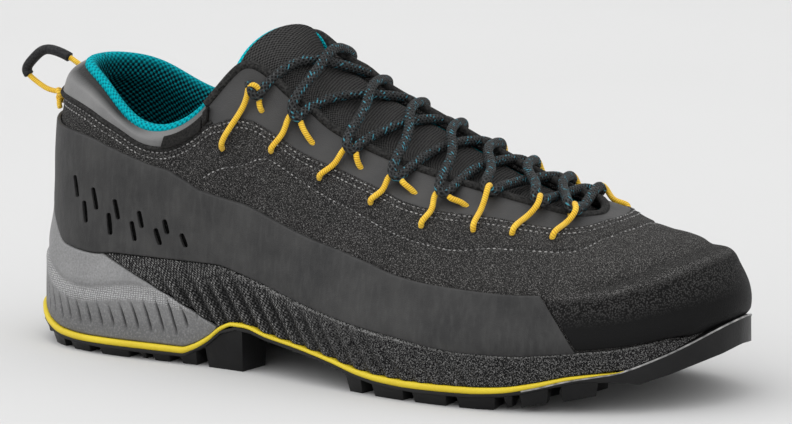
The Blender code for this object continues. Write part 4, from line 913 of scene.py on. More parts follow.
def rubber():
    """Black rubber of the outsole."""
    look = shader("outsole_rubber", 0.4, Specular_IOR_Level=0.22)
    cloud = noise(look, 60, 3.0)
    fine = noise(look, 900, 2.0)
    link(look, "Base Color", tint(look, cloud, 0.3, 0.7, (0.0055, 0.0055, 0.006), (0.011, 0.011, 0.011)))
    link(look, "Roughness", steps(look, cloud, 0.3, 0.7, 0.36, 0.5))
    link(look, "Normal", bump(look, fine, 0.0002, 0.4))
    return look


def painted_highlight_rubber():
    """Pale rubber colour for the toe's upper edge: a painted highlight where the edge catches the light."""
    look = shader("painted_highlight_rubber", 0.45, Specular_IOR_Level=0.3)
    highlight_cloud = noise(look, 300, 3.0)
    # Painted highlight: pale where the edge catches the light.
    link(look, "Base Color", tint(look, highlight_cloud, 0.35, 0.65, (0.12, 0.12, 0.12), (0.42, 0.415, 0.41)))
    link(look, "Normal", bump(look, highlight_cloud, 0.0001, 0.4))
    return look


def plain_cloth(name, low, high, roughness=0.85, scale=1400, shine=0.1):
    """Plain woven cloth between two colours."""
    look = shader(name, roughness, Specular_IOR_Level=shine)
    weave = noise(look, scale, 2.0, rough=0.6)
    link(look, "Base Color", tint(look, weave, 0.35, 0.7, low, high))
    link(look, "Normal", bump(look, weave, 0.0003, 0.6))
    return look


# Mesh making


def new_object(name, data):
    """A new object in the scene."""
    obj = bpy.data.objects.new(name, data)
    bpy.context.scene.collection.objects.link(obj)
    return obj


def reworked(mesh, job):
    """Changes a mesh by a job on its editable form."""
    work = bmesh.new()
    work.from_mesh(mesh)
    job(work)
    work.to_mesh(mesh)
    work.free()


def face_out(work):
    """Turns all faces outwards."""
    bmesh.ops.recalc_face_normals(work, faces=work.faces)


def close_seams(work):
    """Joins points that lie in one place, and turns the faces outwards."""
    bmesh.ops.remove_doubles(work, verts=work.verts, dist=1e-6)
    face_out(work)


def settled(obj):
    """The object's mesh with its modifiers applied."""
    graph = bpy.context.evaluated_depsgraph_get()
    graph.update()
    return bpy.data.meshes.new_from_object(obj.evaluated_get(graph))


def settle(obj, sharp):
    """Applies the object's modifiers; edges over an angle in degrees stay sharp."""
    mesh = settled(obj)
    obj.modifiers.clear()
    obj.data = mesh
    mesh.shade_smooth()
    mesh.set_sharp_from_angle(angle=math.radians(sharp))


def finish_piece(obj, look, nodes=(), smooth=True):
    """Gives a finished piece its material, its body and the nodes it stands for."""
    obj.data.materials.clear()
    obj.data.materials.append(look)
    if smooth:
        obj.data.shade_smooth()
    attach(obj, "root")
    if nodes:
        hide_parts(*nodes)
    return obj


def mesh_object(name, points, quads, cloth=None, marks=None):
    """A mesh object from arrays of points and four-cornered faces, with surface coordinates and marks."""
    mesh = bpy.data.meshes.new(name)
    mesh.from_pydata(placed(points).tolist(), [], quads.tolist() if hasattr(quads, "tolist") else quads)
    if cloth is not None:
        layer = mesh.uv_layers.new(name="cloth")
        corners = np.zeros(len(mesh.loops), int)
        mesh.loops.foreach_get("vertex_index", corners)
        layer.data.foreach_set("uv", np.asarray(cloth, float)[corners].ravel())
    for mark, values in (marks or {}).items():
        layer = mesh.attributes.new(mark, "FLOAT", "POINT")
        layer.data.foreach_set("value", np.asarray(values, float).ravel())
    mesh.validate()
    return new_object(name, mesh)


def quad_grid(rows, columns, wrap_rows, wrap_columns):
    """Faces of a grid whose points run along columns first; a wrapped way closes on itself."""
    i = np.arange(rows if wrap_rows else rows - 1)
    j = np.arange(columns if wrap_columns else columns - 1)
    i, j = np.meshgrid(i, j, indexing="ij")
    below = (i + 1) % rows
    right = (j + 1) % columns
    corners = (i * columns + j, i * columns + right, below * columns + right, below * columns + j)
    return np.stack(corners, -1).reshape(-1, 4)


def loops_mesh(name, loops, closed_columns, cloth=None, marks=None):
    """A tube-like mesh of rows x columns points: rows close on themselves, columns too or with end faces."""
    rows, columns = loops.shape[:2]
    quads = quad_grid(rows, columns, True, closed_columns).tolist()
    if not closed_columns:
        half = rows // 2
        for column, turn in ((0, False), (columns - 1, True)):
            for i in range(half - 1 if rows % 2 == 0 else half):
                face = [i, i + 1, rows - 2 - i, rows - 1 - i]
                face = [corner * columns + column for corner in dict.fromkeys(face)]
                quads.append(face[::-1] if turn else face)
    if cloth is None:
        ways = np.linalg.norm(np.diff(loops, axis=0), axis=2)
        down = np.vstack([np.zeros(columns), np.cumsum(ways, axis=0)])
        across = running_length(loops[rows // 4])
        cloth = np.stack([np.broadcast_to(across, (rows, columns)), down], -1)
    obj = mesh_object(name, loops.reshape(-1, 3), quads, cloth.reshape(-1, 2), marks)
    reworked(obj.data, face_out)
    return obj


def shell(name, outer, inner, closed_columns, marks=None):
    """A closed shell from an outer and an inner grid of the same columns."""
    loops = np.concatenate([outer, inner[::-1]])
    if marks:
        marks = {key: np.concatenate([value, np.zeros(inner.shape[:2])]) for key, value in marks.items()}
    return loops_mesh(name, loops, closed_columns, marks=marks)


def lifted(stations, levels, lift):
    """Points over the upper's outer face: levels and lift are rows x columns."""
    points = upper_at(stations, levels.T).transpose(1, 0, 2)
    out = upper_normals(stations, levels.T).transpose(1, 0, 2)
    return points + out * np.asarray(lift)[..., None]


def section_lengths(stations):
    """Length of the upper's section at each station, from its foot to its mouth."""
    points = upper_at(stations, np.linspace(0, 1, 24))
    return np.linalg.norm(np.diff(points, axis=1), axis=2).sum(axis=1)


def rounded(route, rounds=3):
    """A route with its corners cut again and again; its ends stay."""
    route = np.asarray(route, float)
    for _ in range(rounds):
        near = route[:-1] * 0.75 + route[1:] * 0.25
        far = route[:-1] * 0.25 + route[1:] * 0.75
        route = np.vstack([route[:1], np.stack([near, far], axis=1).reshape(-1, 3), route[-1:]])
    return route


def smooth_line(route, samples):
    """Points at even ways along a smooth curve through a route."""
    knots = running_length(route)
    return cubic(knots, route)(np.linspace(0, knots[-1], samples))


def swept(name, route, size, sides=14, flat=1.0, samples=None):
    """A round cord along a smooth curve through a route, with end caps and its own surface coordinates."""
    count = samples or max(8, int(running_length(route)[-1] / (size * 0.28)))
    line = smooth_line(route, count)
    ahead = np.gradient(line, axis=0)
    ahead /= np.linalg.norm(ahead, axis=1)[:, None]
    side = np.cross(ahead[0], (0.0, 0.0, 1.0) if abs(ahead[0][2]) < 0.9 else (0.0, 1.0, 0.0))
    sides_at = []
    for direction in ahead:
        side = side - direction * side.dot(direction)
        side /= np.linalg.norm(side)
        sides_at.append(side)
    side = np.array(sides_at)
    up = np.cross(ahead, side)
    angles = np.linspace(0, 2 * np.pi, sides + 1)
    around = side[:, None] * np.cos(angles)[:, None] + up[:, None] * np.sin(angles)[:, None] * flat
    rings = line[:, None] + around * size / 2
    along = running_length(line)
    cloth = np.stack(np.broadcast_arrays(np.linspace(0, 1, sides + 1)[None, :], along[:, None]), -1)
    tips = np.array([line[0] - ahead[0] * size * 0.18, line[-1] + ahead[-1] * size * 0.18])
    quads = quad_grid(count, sides + 1, False, False).tolist()
    last = count * (sides + 1)
    for i in range(sides):
        quads.append([i + 1, i, last])
        quads.append([last - sides - 1 + i, last - sides + i, last + 1])
    surface = np.vstack([cloth.reshape(-1, 2), [[0.5, 0.0], [0.5, along[-1]]]])
    obj = mesh_object(name, np.vstack([rings.reshape(-1, 3), tips]), quads, surface)
    reworked(obj.data, close_seams)
    return obj


def joined(name, objects):
    """One object from several, with their surface coordinates kept."""
    work = bmesh.new()
    for obj in objects:
        work.from_mesh(obj.data)
        bpy.data.objects.remove(obj, do_unlink=True)
    mesh = bpy.data.meshes.new(name)
    work.to_mesh(mesh)
    work.free()
    return new_object(name, mesh)


# The facing's edge rises over the throat beside the first loops: in levels, and in metres off the tongue
HUMP_RISE = 0.026
HUMP_LIFT = 0.0014

# Lines of the upper's panels, outer side mirrored to the inner one

collar_low = monotone(COLLAR_LOW, 1)
eyestay_low = monotone(EYESTAY_LOW, 1)
wrap_high = monotone(WRAP_HIGH, 1)
cap_high = cubic([row[0] for row in CAP_HIGH], [row[1:] for row in CAP_HIGH])
cap_low = cubic([row[0] for row in CAP_LOW], [row[1:] for row in CAP_LOW])

# The second seam over the quarter and the vamp
SEAM = (
    (3.9, 0.64), (4.1, 0.64), (4.82, 0.6), (5.48, 0.655), (6.11, 0.66), (6.78, 0.65), (7.32, 0.61),
    (7.82, 0.58), (8.22, 0.58), (8.89, 0.64), (9.88, 0.66), (10.72, 0.745), (11.43, 0.765), (12.0, 0.77),
)
seam_level = monotone(SEAM, 1)
tongue_bulge = monotone(TONGUE_ROWS, 1)

# Soft troughs and ridges of the upper: two ends as station and level, width and depth in metres
CREASES = (
    ((4.3, 0.56), (5.7, 0.5), 0.005, 0.0006), ((4.6, 0.7), (5.2, 0.56), 0.003, 0.0006),
    ((6.1, 0.74), (6.6, 0.55), 0.0035, 0.0004), ((7.1, 0.72), (7.55, 0.52), 0.0035, 0.0005),
    ((7.9, 0.5), (9.3, 0.58), 0.005, 0.0006), ((8.4, 0.72), (9.1, 0.66), 0.0035, 0.0004),
    ((9.3, 0.62), (10.4, 0.62), 0.006, 0.0005), ((17.1, 0.7), (17.6, 0.5), 0.004, 0.0005),
    ((15.2, 0.56), (16.4, 0.52), 0.005, 0.0006), ((18.6, 0.66), (19.6, 0.52), 0.0045, 0.0006),
    ((20.4, 0.72), (21.6, 0.66), 0.005, 0.0004),
)


def toward_toe(stations):
    """Stations folded onto the outer side, from 0 at the heel to 12 at the toe tip."""
    turned = np.mod(stations, COUNT)
    return np.where(turned > TOE_TIP, COUNT - turned, turned)


def panel_edge(stations):
    """Level where the suede ends below the collar panel and the facing."""
    turned = toward_toe(stations)
    part = np.clip((turned - 4.05) / 0.3, 0, 1)
    return collar_low(turned) * (1 - part) + eyestay_low(turned) * part


def creases(stations, levels, lengths):
    """Depth of the soft troughs at each point, from its distance to each crease's line."""
    across = distance(stations)[None, :] * np.ones_like(levels)
    up = levels * lengths[None, :]
    total = np.zeros_like(levels)
    for start, end, width, depth in CREASES:
        ends = []
        for station, level in (start, end):
            length = np.interp(station, stations, lengths)
            ends.append((float(distance(station)), level * length))
        (x0, y0), (x1, y1) = ends
        way = np.hypot(x1 - x0, y1 - y0)
        t = np.clip(((across - x0) * (x1 - x0) + (up - y0) * (y1 - y0)) / way**2, 0, 1)
        apart = np.hypot(across - x0 - t * (x1 - x0), up - y0 - t * (y1 - y0))
        total -= depth * np.exp(-((apart / width) ** 2)) * np.sin(np.pi * np.clip(t, 0.06, 0.94))
    return total


def heel_slim(stations, levels):
    """The suede draws in a little round the heel under the collar panel."""
    behind = 1 - blend(toward_toe(stations), (0.8, 2.2))
    return -0.0013 * behind[None, :] * np.exp(-(((levels - 0.76) / 0.09) ** 2))


def hide_lift(stations, levels, lengths):
    """Height of the suede over the upper's plain form: edge step, seam groove, creases, soft waves."""
    under = (panel_edge(stations)[None, :] - levels) * lengths[None, :]
    raised = 0.0014 * np.clip(1 - under / 0.016, 0, 1) ** 2
    lift = np.where(under > 0, raised * np.clip(under / 0.0006, 0, 1), -0.0003)
    seam = (levels - seam_level(toward_toe(stations))[None, :]) * lengths[None, :]
    reach = np.clip((toward_toe(stations) - 3.8) / 0.3, 0, 1)[None, :]
    lift += reach * (0.0004 / (1 + np.exp(-seam / 0.0003)) - 0.0006 * np.exp(-((seam / 0.0008) ** 2)))
    across = distance(stations)[None, :]
    up = levels * lengths[None, :]
    soft = np.sin(across * 95 + 1.3) * np.sin(up * 130 + across * 40) + 0.6 * np.sin(across * 210 + up * 90)
    lift += 0.00022 * soft * np.clip(under / 0.01, 0, 1)
    flatter = np.exp(-(((stations - 13.5) / 0.75) ** 2))[None, :] * np.exp(-(((levels - 0.74) / 0.1) ** 2))
    return lift + creases(stations, levels, lengths) - 0.0012 * flatter + heel_slim(stations, levels)


# The cap's ridge, toward the toe: its level, how far behind it the trough lies, and the trough's depth
RIDGE_LEVEL = ((9.5, 10.1, 10.8, 12.0), (0.325, 0.362, 0.378, 0.37))
TROUGH_BEHIND = ((9.5, 10.6, 11.2, 12.0), (0.045, 0.045, 0.07, 0.088))
TROUGH_DEPTH = ((10.4, 11.4), (0.0011, 0.0005))
RIDGE_HEIGHT = 0.0012
TOE_FULLNESS = 0.0026


def toe_ridge(stations, levels):
    """Fuller toe front under a soft ridge with a shallow trough behind it, fading out toward the band."""
    turned = toward_toe(stations)
    part = blend(turned, (9.5, 10.6))[None, :]
    crest = np.interp(turned, *RIDGE_LEVEL)[None, :]
    trough = crest + np.interp(turned, *TROUGH_BEHIND)[None, :]
    dip = np.interp(turned, *TROUGH_DEPTH)[None, :]
    ridge = RIDGE_HEIGHT * np.exp(-(((levels - crest + 0.02) / 0.05) ** 2))
    full = TOE_FULLNESS * blend(turned, (10.3, 11.3))[None, :] * np.clip((levels - 0.03) / 0.07, 0, 1)
    full = full * np.clip((0.66 - levels) / 0.28, 0, 1)
    return part * (ridge - dip * np.exp(-(((levels - trough) / 0.034) ** 2))) + full


def upper_piece(look):
    """The suede upper, with its inner face."""
    stations = np.arange(AROUND) * COUNT / AROUND
    lengths = section_lengths(stations)
    rows = np.linspace(0.0, 1.0, 104)
    levels = np.broadcast_to(rows[:, None], (len(rows), AROUND)).copy()
    lift = hide_lift(stations, levels, lengths) + toe_ridge(stations, levels)
    lift *= np.clip((levels - 0.06) / 0.06, 0, 1)
    outer = lifted(stations, levels, lift)
    inner_rows = np.array([0.0, 0.1, 0.25, 0.45, 0.65, 0.85, 0.995])
    inner_levels = np.broadcast_to(inner_rows[:, None], (len(inner_rows), AROUND))
    inner = lifted(stations, inner_levels, np.full(inner_levels.shape, -WALL))
    obj = shell("suede_upper", outer, inner, True)
    return finish_piece(obj, look, ["upper"])


def edge_rows_of(length, count):
    """Shares from one edge of a cover of a mean length to the other, close together at both edges."""
    middle = np.linspace(0, 1, count)
    near = np.array([0.0, 0.12, 0.35, 0.7, 1.2]) * 0.001 / length
    kept = middle[(middle > near[-1] * 1.4) & (middle < 1 - near[-1] * 1.4)]
    return np.concatenate([near, kept, 1 - near[::-1]])


def rounded_edge(rows, columns_span, thickness):
    """Height share of a cover's face near its edges: 0 at the very edge, 1 from 0.7 mm inwards."""
    reach = 0.0007
    away = np.minimum(rows[:, None], 1 - rows[:, None]) * columns_span[None, :]
    t = np.clip(away / reach, 0, 1)
    return np.sqrt(1 - (1 - t) ** 2) * thickness


# Each cover's lift over the upper at its edges, and its thickness
BAND_COVER = (0.0002, 0.0012)
CAP_COVER = (0.0002, 0.0012)
PANEL_COVER = (0.0003, 0.001)
FACING_COVER = (0.0002, 0.0009)
LABEL_COVER = (0.002, 0.0008)
FOLD_COVER = (0.0016, 0.0016)
HEEL_TAB_COVER = (0.0008, 0.0016)


def cover_piece(
    name, low_at, low_levels, high_at, high_levels, base, thickness,
    extra=None, marks=None, count=26, feather=0.0,
):
    """A cover over the upper with rounded edges, between two edges; it may thin out upwards."""
    stations = (low_at + high_at) / 2
    lengths = section_lengths(stations)
    span = np.maximum((high_levels - low_levels) * lengths, 0.0005)
    rows = edge_rows_of(np.mean(lengths * np.mean(high_levels - low_levels)), count)
    outer, inner, mark_rows = [], [], []
    height = rounded_edge(rows, span, thickness)
    if feather:
        thin = np.clip((1 - rows) / feather, 0, 1)[:, None]
        height = height * thin - 0.0007 * (1 - thin)
    for i, share in enumerate(rows):
        at = low_at * (1 - share) + high_at * share
        level = (low_levels * (1 - share) + high_levels * share)[None, :]
        more = extra(at, level) if extra is not None else 0.0
        outer.append(lifted(at, level, base + height[i][None, :] + more)[0])
        depth = base - 0.0002 - (0.0008 if feather else 0.0)
        inner.append(lifted(at, level, np.full(level.shape, depth) + np.minimum(more, 0))[0])
        if marks:
            mark_rows.append(marks(at, level)[0])
    kept = {"painted_light_and_grain": np.array(mark_rows)} if marks else None
    return shell(name, np.array(outer), np.array(inner), False, kept)


# Vent slots of the band at the heel: station and level of each slot's middle, and its length
SLOTS = (
    (1.83, 0.46, 0.0085), (2.2, 0.442, 0.0085), (2.58, 0.438, 0.0078), (3.01, 0.428, 0.0068),
    (3.43, 0.4, 0.006), (2.04, 0.352, 0.0085), (2.47, 0.338, 0.0085), (2.88, 0.342, 0.0078),
    (3.29, 0.335, 0.0068), (3.69, 0.312, 0.0058),
)
SLOT_LEAN = 0.24
SLOT_SIZE = 0.0025
SLOT_BACKING = 0.0036
# The band's front edge runs on this far in stations to close the joint with the cap
WRAP_CLOSE = 0.055


def slots(lift):
    """Each vent slot's middle, half length and outward direction, on both sides of the heel."""
    made = []
    for side in (1, -1):
        for station, level, length in SLOTS:
            at = station if side == 1 else COUNT - station
            toeward, upward, out = surface_frame(at, level)
            lean = upward * math.cos(SLOT_LEAN) - toeward * math.sin(SLOT_LEAN)
            made.append((spot(at, level, lift), lean * (length - SLOT_SIZE) / 2, out))
    return made


def capsules(name, ends, size):
    """Short round-ended bars between pairs of points, as one object."""
    work = bmesh.new()
    for start, end in ends:
        start, end = Vector(placed(start)), Vector(placed(end))
        way = end - start
        verts = bmesh.ops.create_uvsphere(work, u_segments=12, v_segments=8, radius=size / 2)["verts"]
        for vert in verts:
            vert.co.z += math.copysign(way.length / 2, vert.co.z) if abs(vert.co.z) > 1e-9 else 0.0
        turn = Vector((0, 0, 1)).rotation_difference(way.normalized()).to_matrix().to_4x4()
        bmesh.ops.transform(work, matrix=turn, verts=verts)
        bmesh.ops.translate(work, vec=(start + end) / 2, verts=verts)
    mesh = bpy.data.meshes.new(name)
    work.to_mesh(mesh)
    work.free()
    return new_object(name, mesh)


def slot_backing(look):
    """Black mesh seen through the vent slots; its near-black is partly the mesh's own colour and partly
    painted shade inside the slots.
    """
    ends = [(middle - half, middle + half) for middle, half, _ in slots(-0.001)]
    obj = capsules("slot_backing", ends, SLOT_BACKING)
    return finish_piece(obj, look)


def band_ends(end, gap):
    """Stations along one edge of the band, from its inner front end round the heel to the outer one."""
    reach = WRAP_FRONT[1] - 0.25
    front = np.linspace(reach + gap, end + WRAP_CLOSE, 16)
    return np.concatenate([-front[::-1], np.linspace(-reach, reach, 520), front])


def wrap_piece(look):
    """Smooth band with its vent slots cut through."""
    low_at, high_at = band_ends(WRAP_FRONT[0], 0.05), band_ends(WRAP_FRONT[1], 0.02)
    low_levels = level_of(low_at, lip_height(edge_frame(low_at)[2])) + 0.004
    high_levels = mirrored(wrap_high, high_at)

    def extra(at, level):
        across = distance(at)[None, :]
        return 0.00018 * np.sin(across * 120 + level * 9) * np.sin(level * 14 + across * 35)

    edges = (low_at, low_levels, high_at, high_levels)
    obj = cover_piece("smooth_band", *edges, *BAND_COVER, extra, count=34)
    ends = []
    for middle, half, out in slots(0.0012):
        for depth in (-0.0006, 0.0004):
            ends.append((middle + out * depth - half, middle + out * depth + half))
    cutter = capsules("slots", ends, SLOT_SIZE)
    cut = obj.modifiers.new("slots", "BOOLEAN")
    cut.operation = "DIFFERENCE"
    cut.solver = "EXACT"
    cut.use_self = True
    cut.object = cutter
    settle(obj, 50)
    bpy.data.objects.remove(cutter, do_unlink=True)
    return finish_piece(obj, look, ["side_wrap"], smooth=False)


def cap_piece(look):
    """Toe cap with its soft ridge; it thins out at its top edge, where it runs into the vamp."""
    share = np.linspace(0, 1, 300)
    low_at = CAP_LOW[0][0] + (CAP_LOW[-1][0] - CAP_LOW[0][0]) * share
    high_at = CAP_HIGH[0][0] + (CAP_HIGH[-1][0] - CAP_HIGH[0][0]) * share
    low_levels = cap_low(low_at)[:, 0] - 0.008 - 0.055 * blend(toward_toe(low_at), (10.9, 11.8))
    high_levels = cap_high(high_at)[:, 0]

    # Mark that rises toward the cap's foot: it drives the pebbled grain, the painted shade at the foot and the
    # painted highlight on the crest.
    def painted_light_and_grain(_at, level):
        return np.clip((0.385 - level) / 0.24, 0, 1)

    edges = (low_at, low_levels, high_at, high_levels)
    obj = cover_piece("toe_cap_shell", *edges, *CAP_COVER, toe_ridge, painted_light_and_grain, count=44, feather=0.4)
    return finish_piece(obj, look, ["toe_cap"])


def collar_piece(look):
    """Grey panel under the collar, with a belly and a hollow beside the lining's roll, darkened there with
    painted shade.
    """
    stations = np.linspace(-COLLAR_END + 0.02, COLLAR_END - 0.02, 260)
    low = mirrored(collar_low, stations)
    top = np.full(len(stations), COVER_TOP)

    def up_share(at, level):
        low_edge = mirrored(collar_low, at)[None, :]
        return (level - low_edge) / np.maximum(COVER_TOP - low_edge, 0.02)

    # Fold mark: it dents the panel and darkens it with painted shade.
    def fold(at, level):
        turned = toward_toe(at)[None, :]
        zone = np.clip((turned - 0.3) / 0.6, 0, 1) * np.clip((3.3 - turned) / 0.8, 0, 1)
        return zone * np.clip((up_share(at, level) - 0.44) / 0.34, 0, 1)

    def extra(at, level):
        belly = 0.0013 * np.sin(np.pi * np.clip(up_share(at, level), 0, 1)) ** 2
        return belly - 0.0012 * fold(at, level)

    obj = cover_piece("collar_band", stations, low, stations, top, *PANEL_COVER, extra, fold)
    return finish_piece(obj, look, ["collar_panel"])


def hump(stations):
    """How far the facing's edge rises over the throat beside the first loops, from 0 to 1."""
    turned = toward_toe(stations)
    return np.exp(-(((turned - 5.15) / 0.42) ** 2)) + 0.5 * np.exp(-(((turned - 6.05) / 0.18) ** 2))


def facing_piece(look):
    """Smooth facing round the throat."""
    stations = np.linspace(EYESTAY_END - 0.27, COUNT - EYESTAY_END + 0.27, 420)
    low = mirrored(eyestay_low, stations) - 0.01
    top = COVER_TOP + HUMP_RISE * hump(stations)

    def extra(at, level):
        return HUMP_LIFT * hump(at)[None, :] * np.clip((level - 0.95) / 0.05, 0, 1.5)

    obj = cover_piece("throat_facing", stations, low, stations, top, *FACING_COVER, extra)
    return finish_piece(obj, look, ["eyestay"])


# Thickness of the rolled edges along the throat and under the collar panel
PIPING = 0.0034
EDGING = 0.0022


def throat_piping(look):
    """Rolled edge along the throat, from the collar's outer end round the toe side to its inner end."""
    stations = np.linspace(EYESTAY_END - 0.22, COUNT - EYESTAY_END + 0.22, 150)
    rise = hump(stations)
    levels = 0.996 + HUMP_RISE * rise
    route = np.array([spot(s, v, 0.0008 + HUMP_LIFT * h) for s, v, h in zip(stations, levels, rise)])
    obj = swept("throat_piping", route, PIPING, sides=10, samples=420)
    return finish_piece(obj, look)


def collar_edging(look):
    """Dark turned edge under the collar panel."""
    stations = np.linspace(-COLLAR_END - 0.1, COLLAR_END + 0.1, 120)
    levels = mirrored(collar_low, stations) - 0.004
    route = on_upper(stations, levels, 0.0009)
    obj = swept("collar_edging", route, EDGING, sides=8, samples=300)
    return finish_piece(obj, look)


def patch_rows(corners):
    """Stations and levels of a sewn patch's lower and upper edges, from its four corners."""
    a, b, c, d = np.array(corners)
    share = np.linspace(0, 1, 30)[:, None]
    return (*(a * (1 - share) + b * share).T, *(c * (1 - share) + d * share).T)


def label_piece(look):
    """Plain woven label on the collar's outer side."""
    obj = cover_piece("side_tab", *patch_rows(LABEL), *LABEL_COVER, count=12)
    return finish_piece(obj, look, ["side_label"])


def folded_tab(look):
    """Small black tab beside the label, where the panel meets the facing."""
    obj = cover_piece("folded_tab", *patch_rows(FOLDED_TAB), *FOLD_COVER, count=12)
    return finish_piece(obj, look)


def heel_tab(look):
    """Black anchor of the heel loop, sewn on below the collar panel."""
    obj = cover_piece("heel_tab", *patch_rows(HEEL_TAB), *HEEL_TAB_COVER, count=12)
    return finish_piece(obj, look)


# Profile of the lining over the collar edge, as (rise, way out) in metres; how deep in painted shade each of
# its rows lies; and the ways below the mouth of the rows inside
LINING_ROLL = (
    (-0.0012, 0.0006), (0.0002, 0.0012), (0.0013, 0.001), (0.0022, 0.0), (0.0025, -0.0014), (0.002, -0.003),
    (0.0006, -0.0046),
)
LINING_SHADE = (0.0, 0.0, 0.0, 0.05, 0.3, 0.7, 1.0)
LINING_DEPTHS = (0.002, 0.006, 0.011, 0.018, 0.026, 0.034, 0.044, 0.056)


def lining_piece(look):
    """Knit lining: a padded roll over the collar that runs down inside, flat under throat and vamp."""
    stations = np.arange(AROUND) * COUNT / AROUND
    turned = toward_toe(stations)
    padded = 1 - blend(turned, (4.15, 4.75))
    mouth = upper_at(stations, [1.0])[:, 0]
    out = upper_normals(stations, [0.99])[:, 0]
    up = mouth - upper_at(stations, [0.97])[:, 0]
    up /= np.linalg.norm(up, axis=1)[:, None]
    under = WALL + 2 * GAP
    loops = []
    flat_roll = np.linspace(-0.0006, 0.0004, len(LINING_ROLL))
    for (rise, side), flat in zip(LINING_ROLL, flat_roll):
        rises = rise * padded - 0.0012 * (1 - padded)
        sides = side * padded + (-under - (flat + 0.0006) * 0.6) * (1 - padded)
        loops.append(mouth + up * rises[:, None] + out * sides[:, None])
    pad = np.interp(LINING_DEPTHS, [0.0, 0.002, 0.018, 0.044, 0.06], [1.0, 1.0, 1.0, 0.45, 0.2])
    levels = [np.clip(depth_level(stations, depth), 0.02, 1) for depth in LINING_DEPTHS]
    levels.append(np.full(AROUND, 0.02))
    for level, share in zip(levels, [*pad, 0.2]):
        thick = PADDING * share * padded + 0.0006
        loops.append(lifted(stations, level[None, :], (-under - thick)[None, :])[0])
    for level in levels[::-1]:
        loops.append(lifted(stations, level[None, :], np.full((1, AROUND), -under))[0])
    loops.append(mouth - out * under - up * 0.0002)
    # Painted shade: the rows inside the shoe are marked to take the lining's darkened colours.
    painted_inside_shade = np.ones((len(loops), AROUND))
    painted_inside_shade[: len(LINING_ROLL)] = np.array(LINING_SHADE)[:, None]
    obj = loops_mesh("knit_lining", np.array(loops), True, marks={"painted_inside_shade": painted_inside_shade})
    return finish_piece(obj, look, ["collar_lining"])


# Free top edge of the tongue in the design frame, from its outer corner over the top to its inner corner
TONGUE_TOP = (
    (0.0955, -0.0232, 0.104), (0.0972, -0.0226, 0.111), (0.0995, -0.0175, 0.1192), (0.104, -0.009, 0.1255),
    (0.1095, 0.0, 0.1275), (0.1125, 0.0085, 0.125), (0.113, 0.0165, 0.1185), (0.112, 0.0225, 0.11),
    (0.111, 0.024, 0.104),
)
# The tongue leaves its bed under the throat at this station and reaches its top edge in this many rows
TONGUE_LEAVES = 5.6
TONGUE_FREE = 22


def tongue_top(shares):
    """Points of the tongue's top edge at shares of its width."""
    return cubic(np.linspace(0, 1, len(TONGUE_TOP)), TONGUE_TOP)(shares)


def tongue_rows(shares):
    """Rows of the tongue's outer face from its top edge to its front, and their outward directions."""
    rows, normals = [], []
    top = tongue_top(shares)
    leaving, leaving_out = tongue_row(TONGUE_LEAVES, shares)
    before = tongue_row(TONGUE_LEAVES + 0.15, shares)[0]
    way = (leaving - before) / 0.15 * 0.55
    for k in range(TONGUE_FREE):
        t = 1 - k / TONGUE_FREE
        row = leaving * (1 + 2 * t) * (1 - t) ** 2 + way * t * (1 - t) ** 2 + top * t * t * (3 - 2 * t)
        rows.append(row)
        normals.append(np.broadcast_to(leaving_out, row.shape))
    for station in np.linspace(TONGUE_LEAVES, TONGUE_ROWS[-1][0], 100):
        row, out = tongue_row(station, shares)
        swell = 0.0007 * np.sin(np.pi * shares) * (0.5 - 0.5 * np.cos((station - 5.1) * 2 * np.pi / 0.68))
        rows.append(row + out * swell[:, None])
        normals.append(np.broadcast_to(out, row.shape))
    return np.array(rows), np.array(normals)


def tongue_piece(look):
    """Padded tongue with an arched top edge, swelling a little between the lace's crossings."""
    shares = np.linspace(0, 1, 64)
    outer, normals = tongue_rows(shares)
    inner = outer - normals * TONGUE * 0.8
    lip = (outer[0] + inner[0]) / 2 + (outer[0] - outer[1]) * 0.35
    loops = np.concatenate([[lip], outer, inner[::-1]])
    obj = loops_mesh("knit_tongue", loops, False)
    return finish_piece(obj, look, ["tongue"])


def tongue_rim(look):
    """Bright knit edge round the tongue's free top."""
    shares = np.linspace(0.05, 0.97, 40)
    outer, normals = tongue_rows(shares)
    route = outer[0] - normals[0] * TONGUE * 0.45 + (outer[0] - outer[1]) * 0.15
    obj = swept("tongue_rim", route, TONGUE * 0.6, sides=12, samples=200)
    return finish_piece(obj, look)


def footbed_piece(look):
    """Fabric footbed, slightly dished, over the whole inside."""
    stations = np.arange(240) * COUNT / 240
    foot = upper_at(stations, [0.0])[:, 0]
    _, inward, along = edge_frame(stations)
    bed = footbed(along) + 2 * GAP
    rows = []
    for inset, rise in ((0.0, 0.0), (0.0, 1.0), (0.0012, 1.12), (0.004, 1.0), (0.012, 0.86)):
        rows.append(np.column_stack([foot[:, :2] + inward * (WALL + 0.0014 + inset), bed + INSOLE * rise]))
    middle_y = np.interp(rows[-1][:, 0], *middle_line(rows[-1]))
    centre, base = rows[-1], rows[0]
    for edge, share in ((centre, 0.5), (centre, 1.0), (base, 1.0)):
        row = edge.copy()
        row[:, 1] = edge[:, 1] * (1 - share) + middle_y * share
        rows.append(row)
    obj = loops_mesh("footbed", np.array([*rows, base]), True)
    return finish_piece(obj, look, ["insole"])


def middle_line(loop):
    """Places and middles of a closed loop round the foot, for its centre line."""
    half = len(loop) // 2
    outer, inner = loop[: half + 1], loop[half:][::-1]
    at = np.linspace(outer[:, 0].min(), outer[:, 0].max(), 60)
    low = np.interp(at, np.sort(outer[:, 0]), outer[np.argsort(outer[:, 0]), 1])
    high = np.interp(at, np.sort(inner[:, 0]), inner[np.argsort(inner[:, 0]), 1])
    return at, (low + high) / 2


# Sole


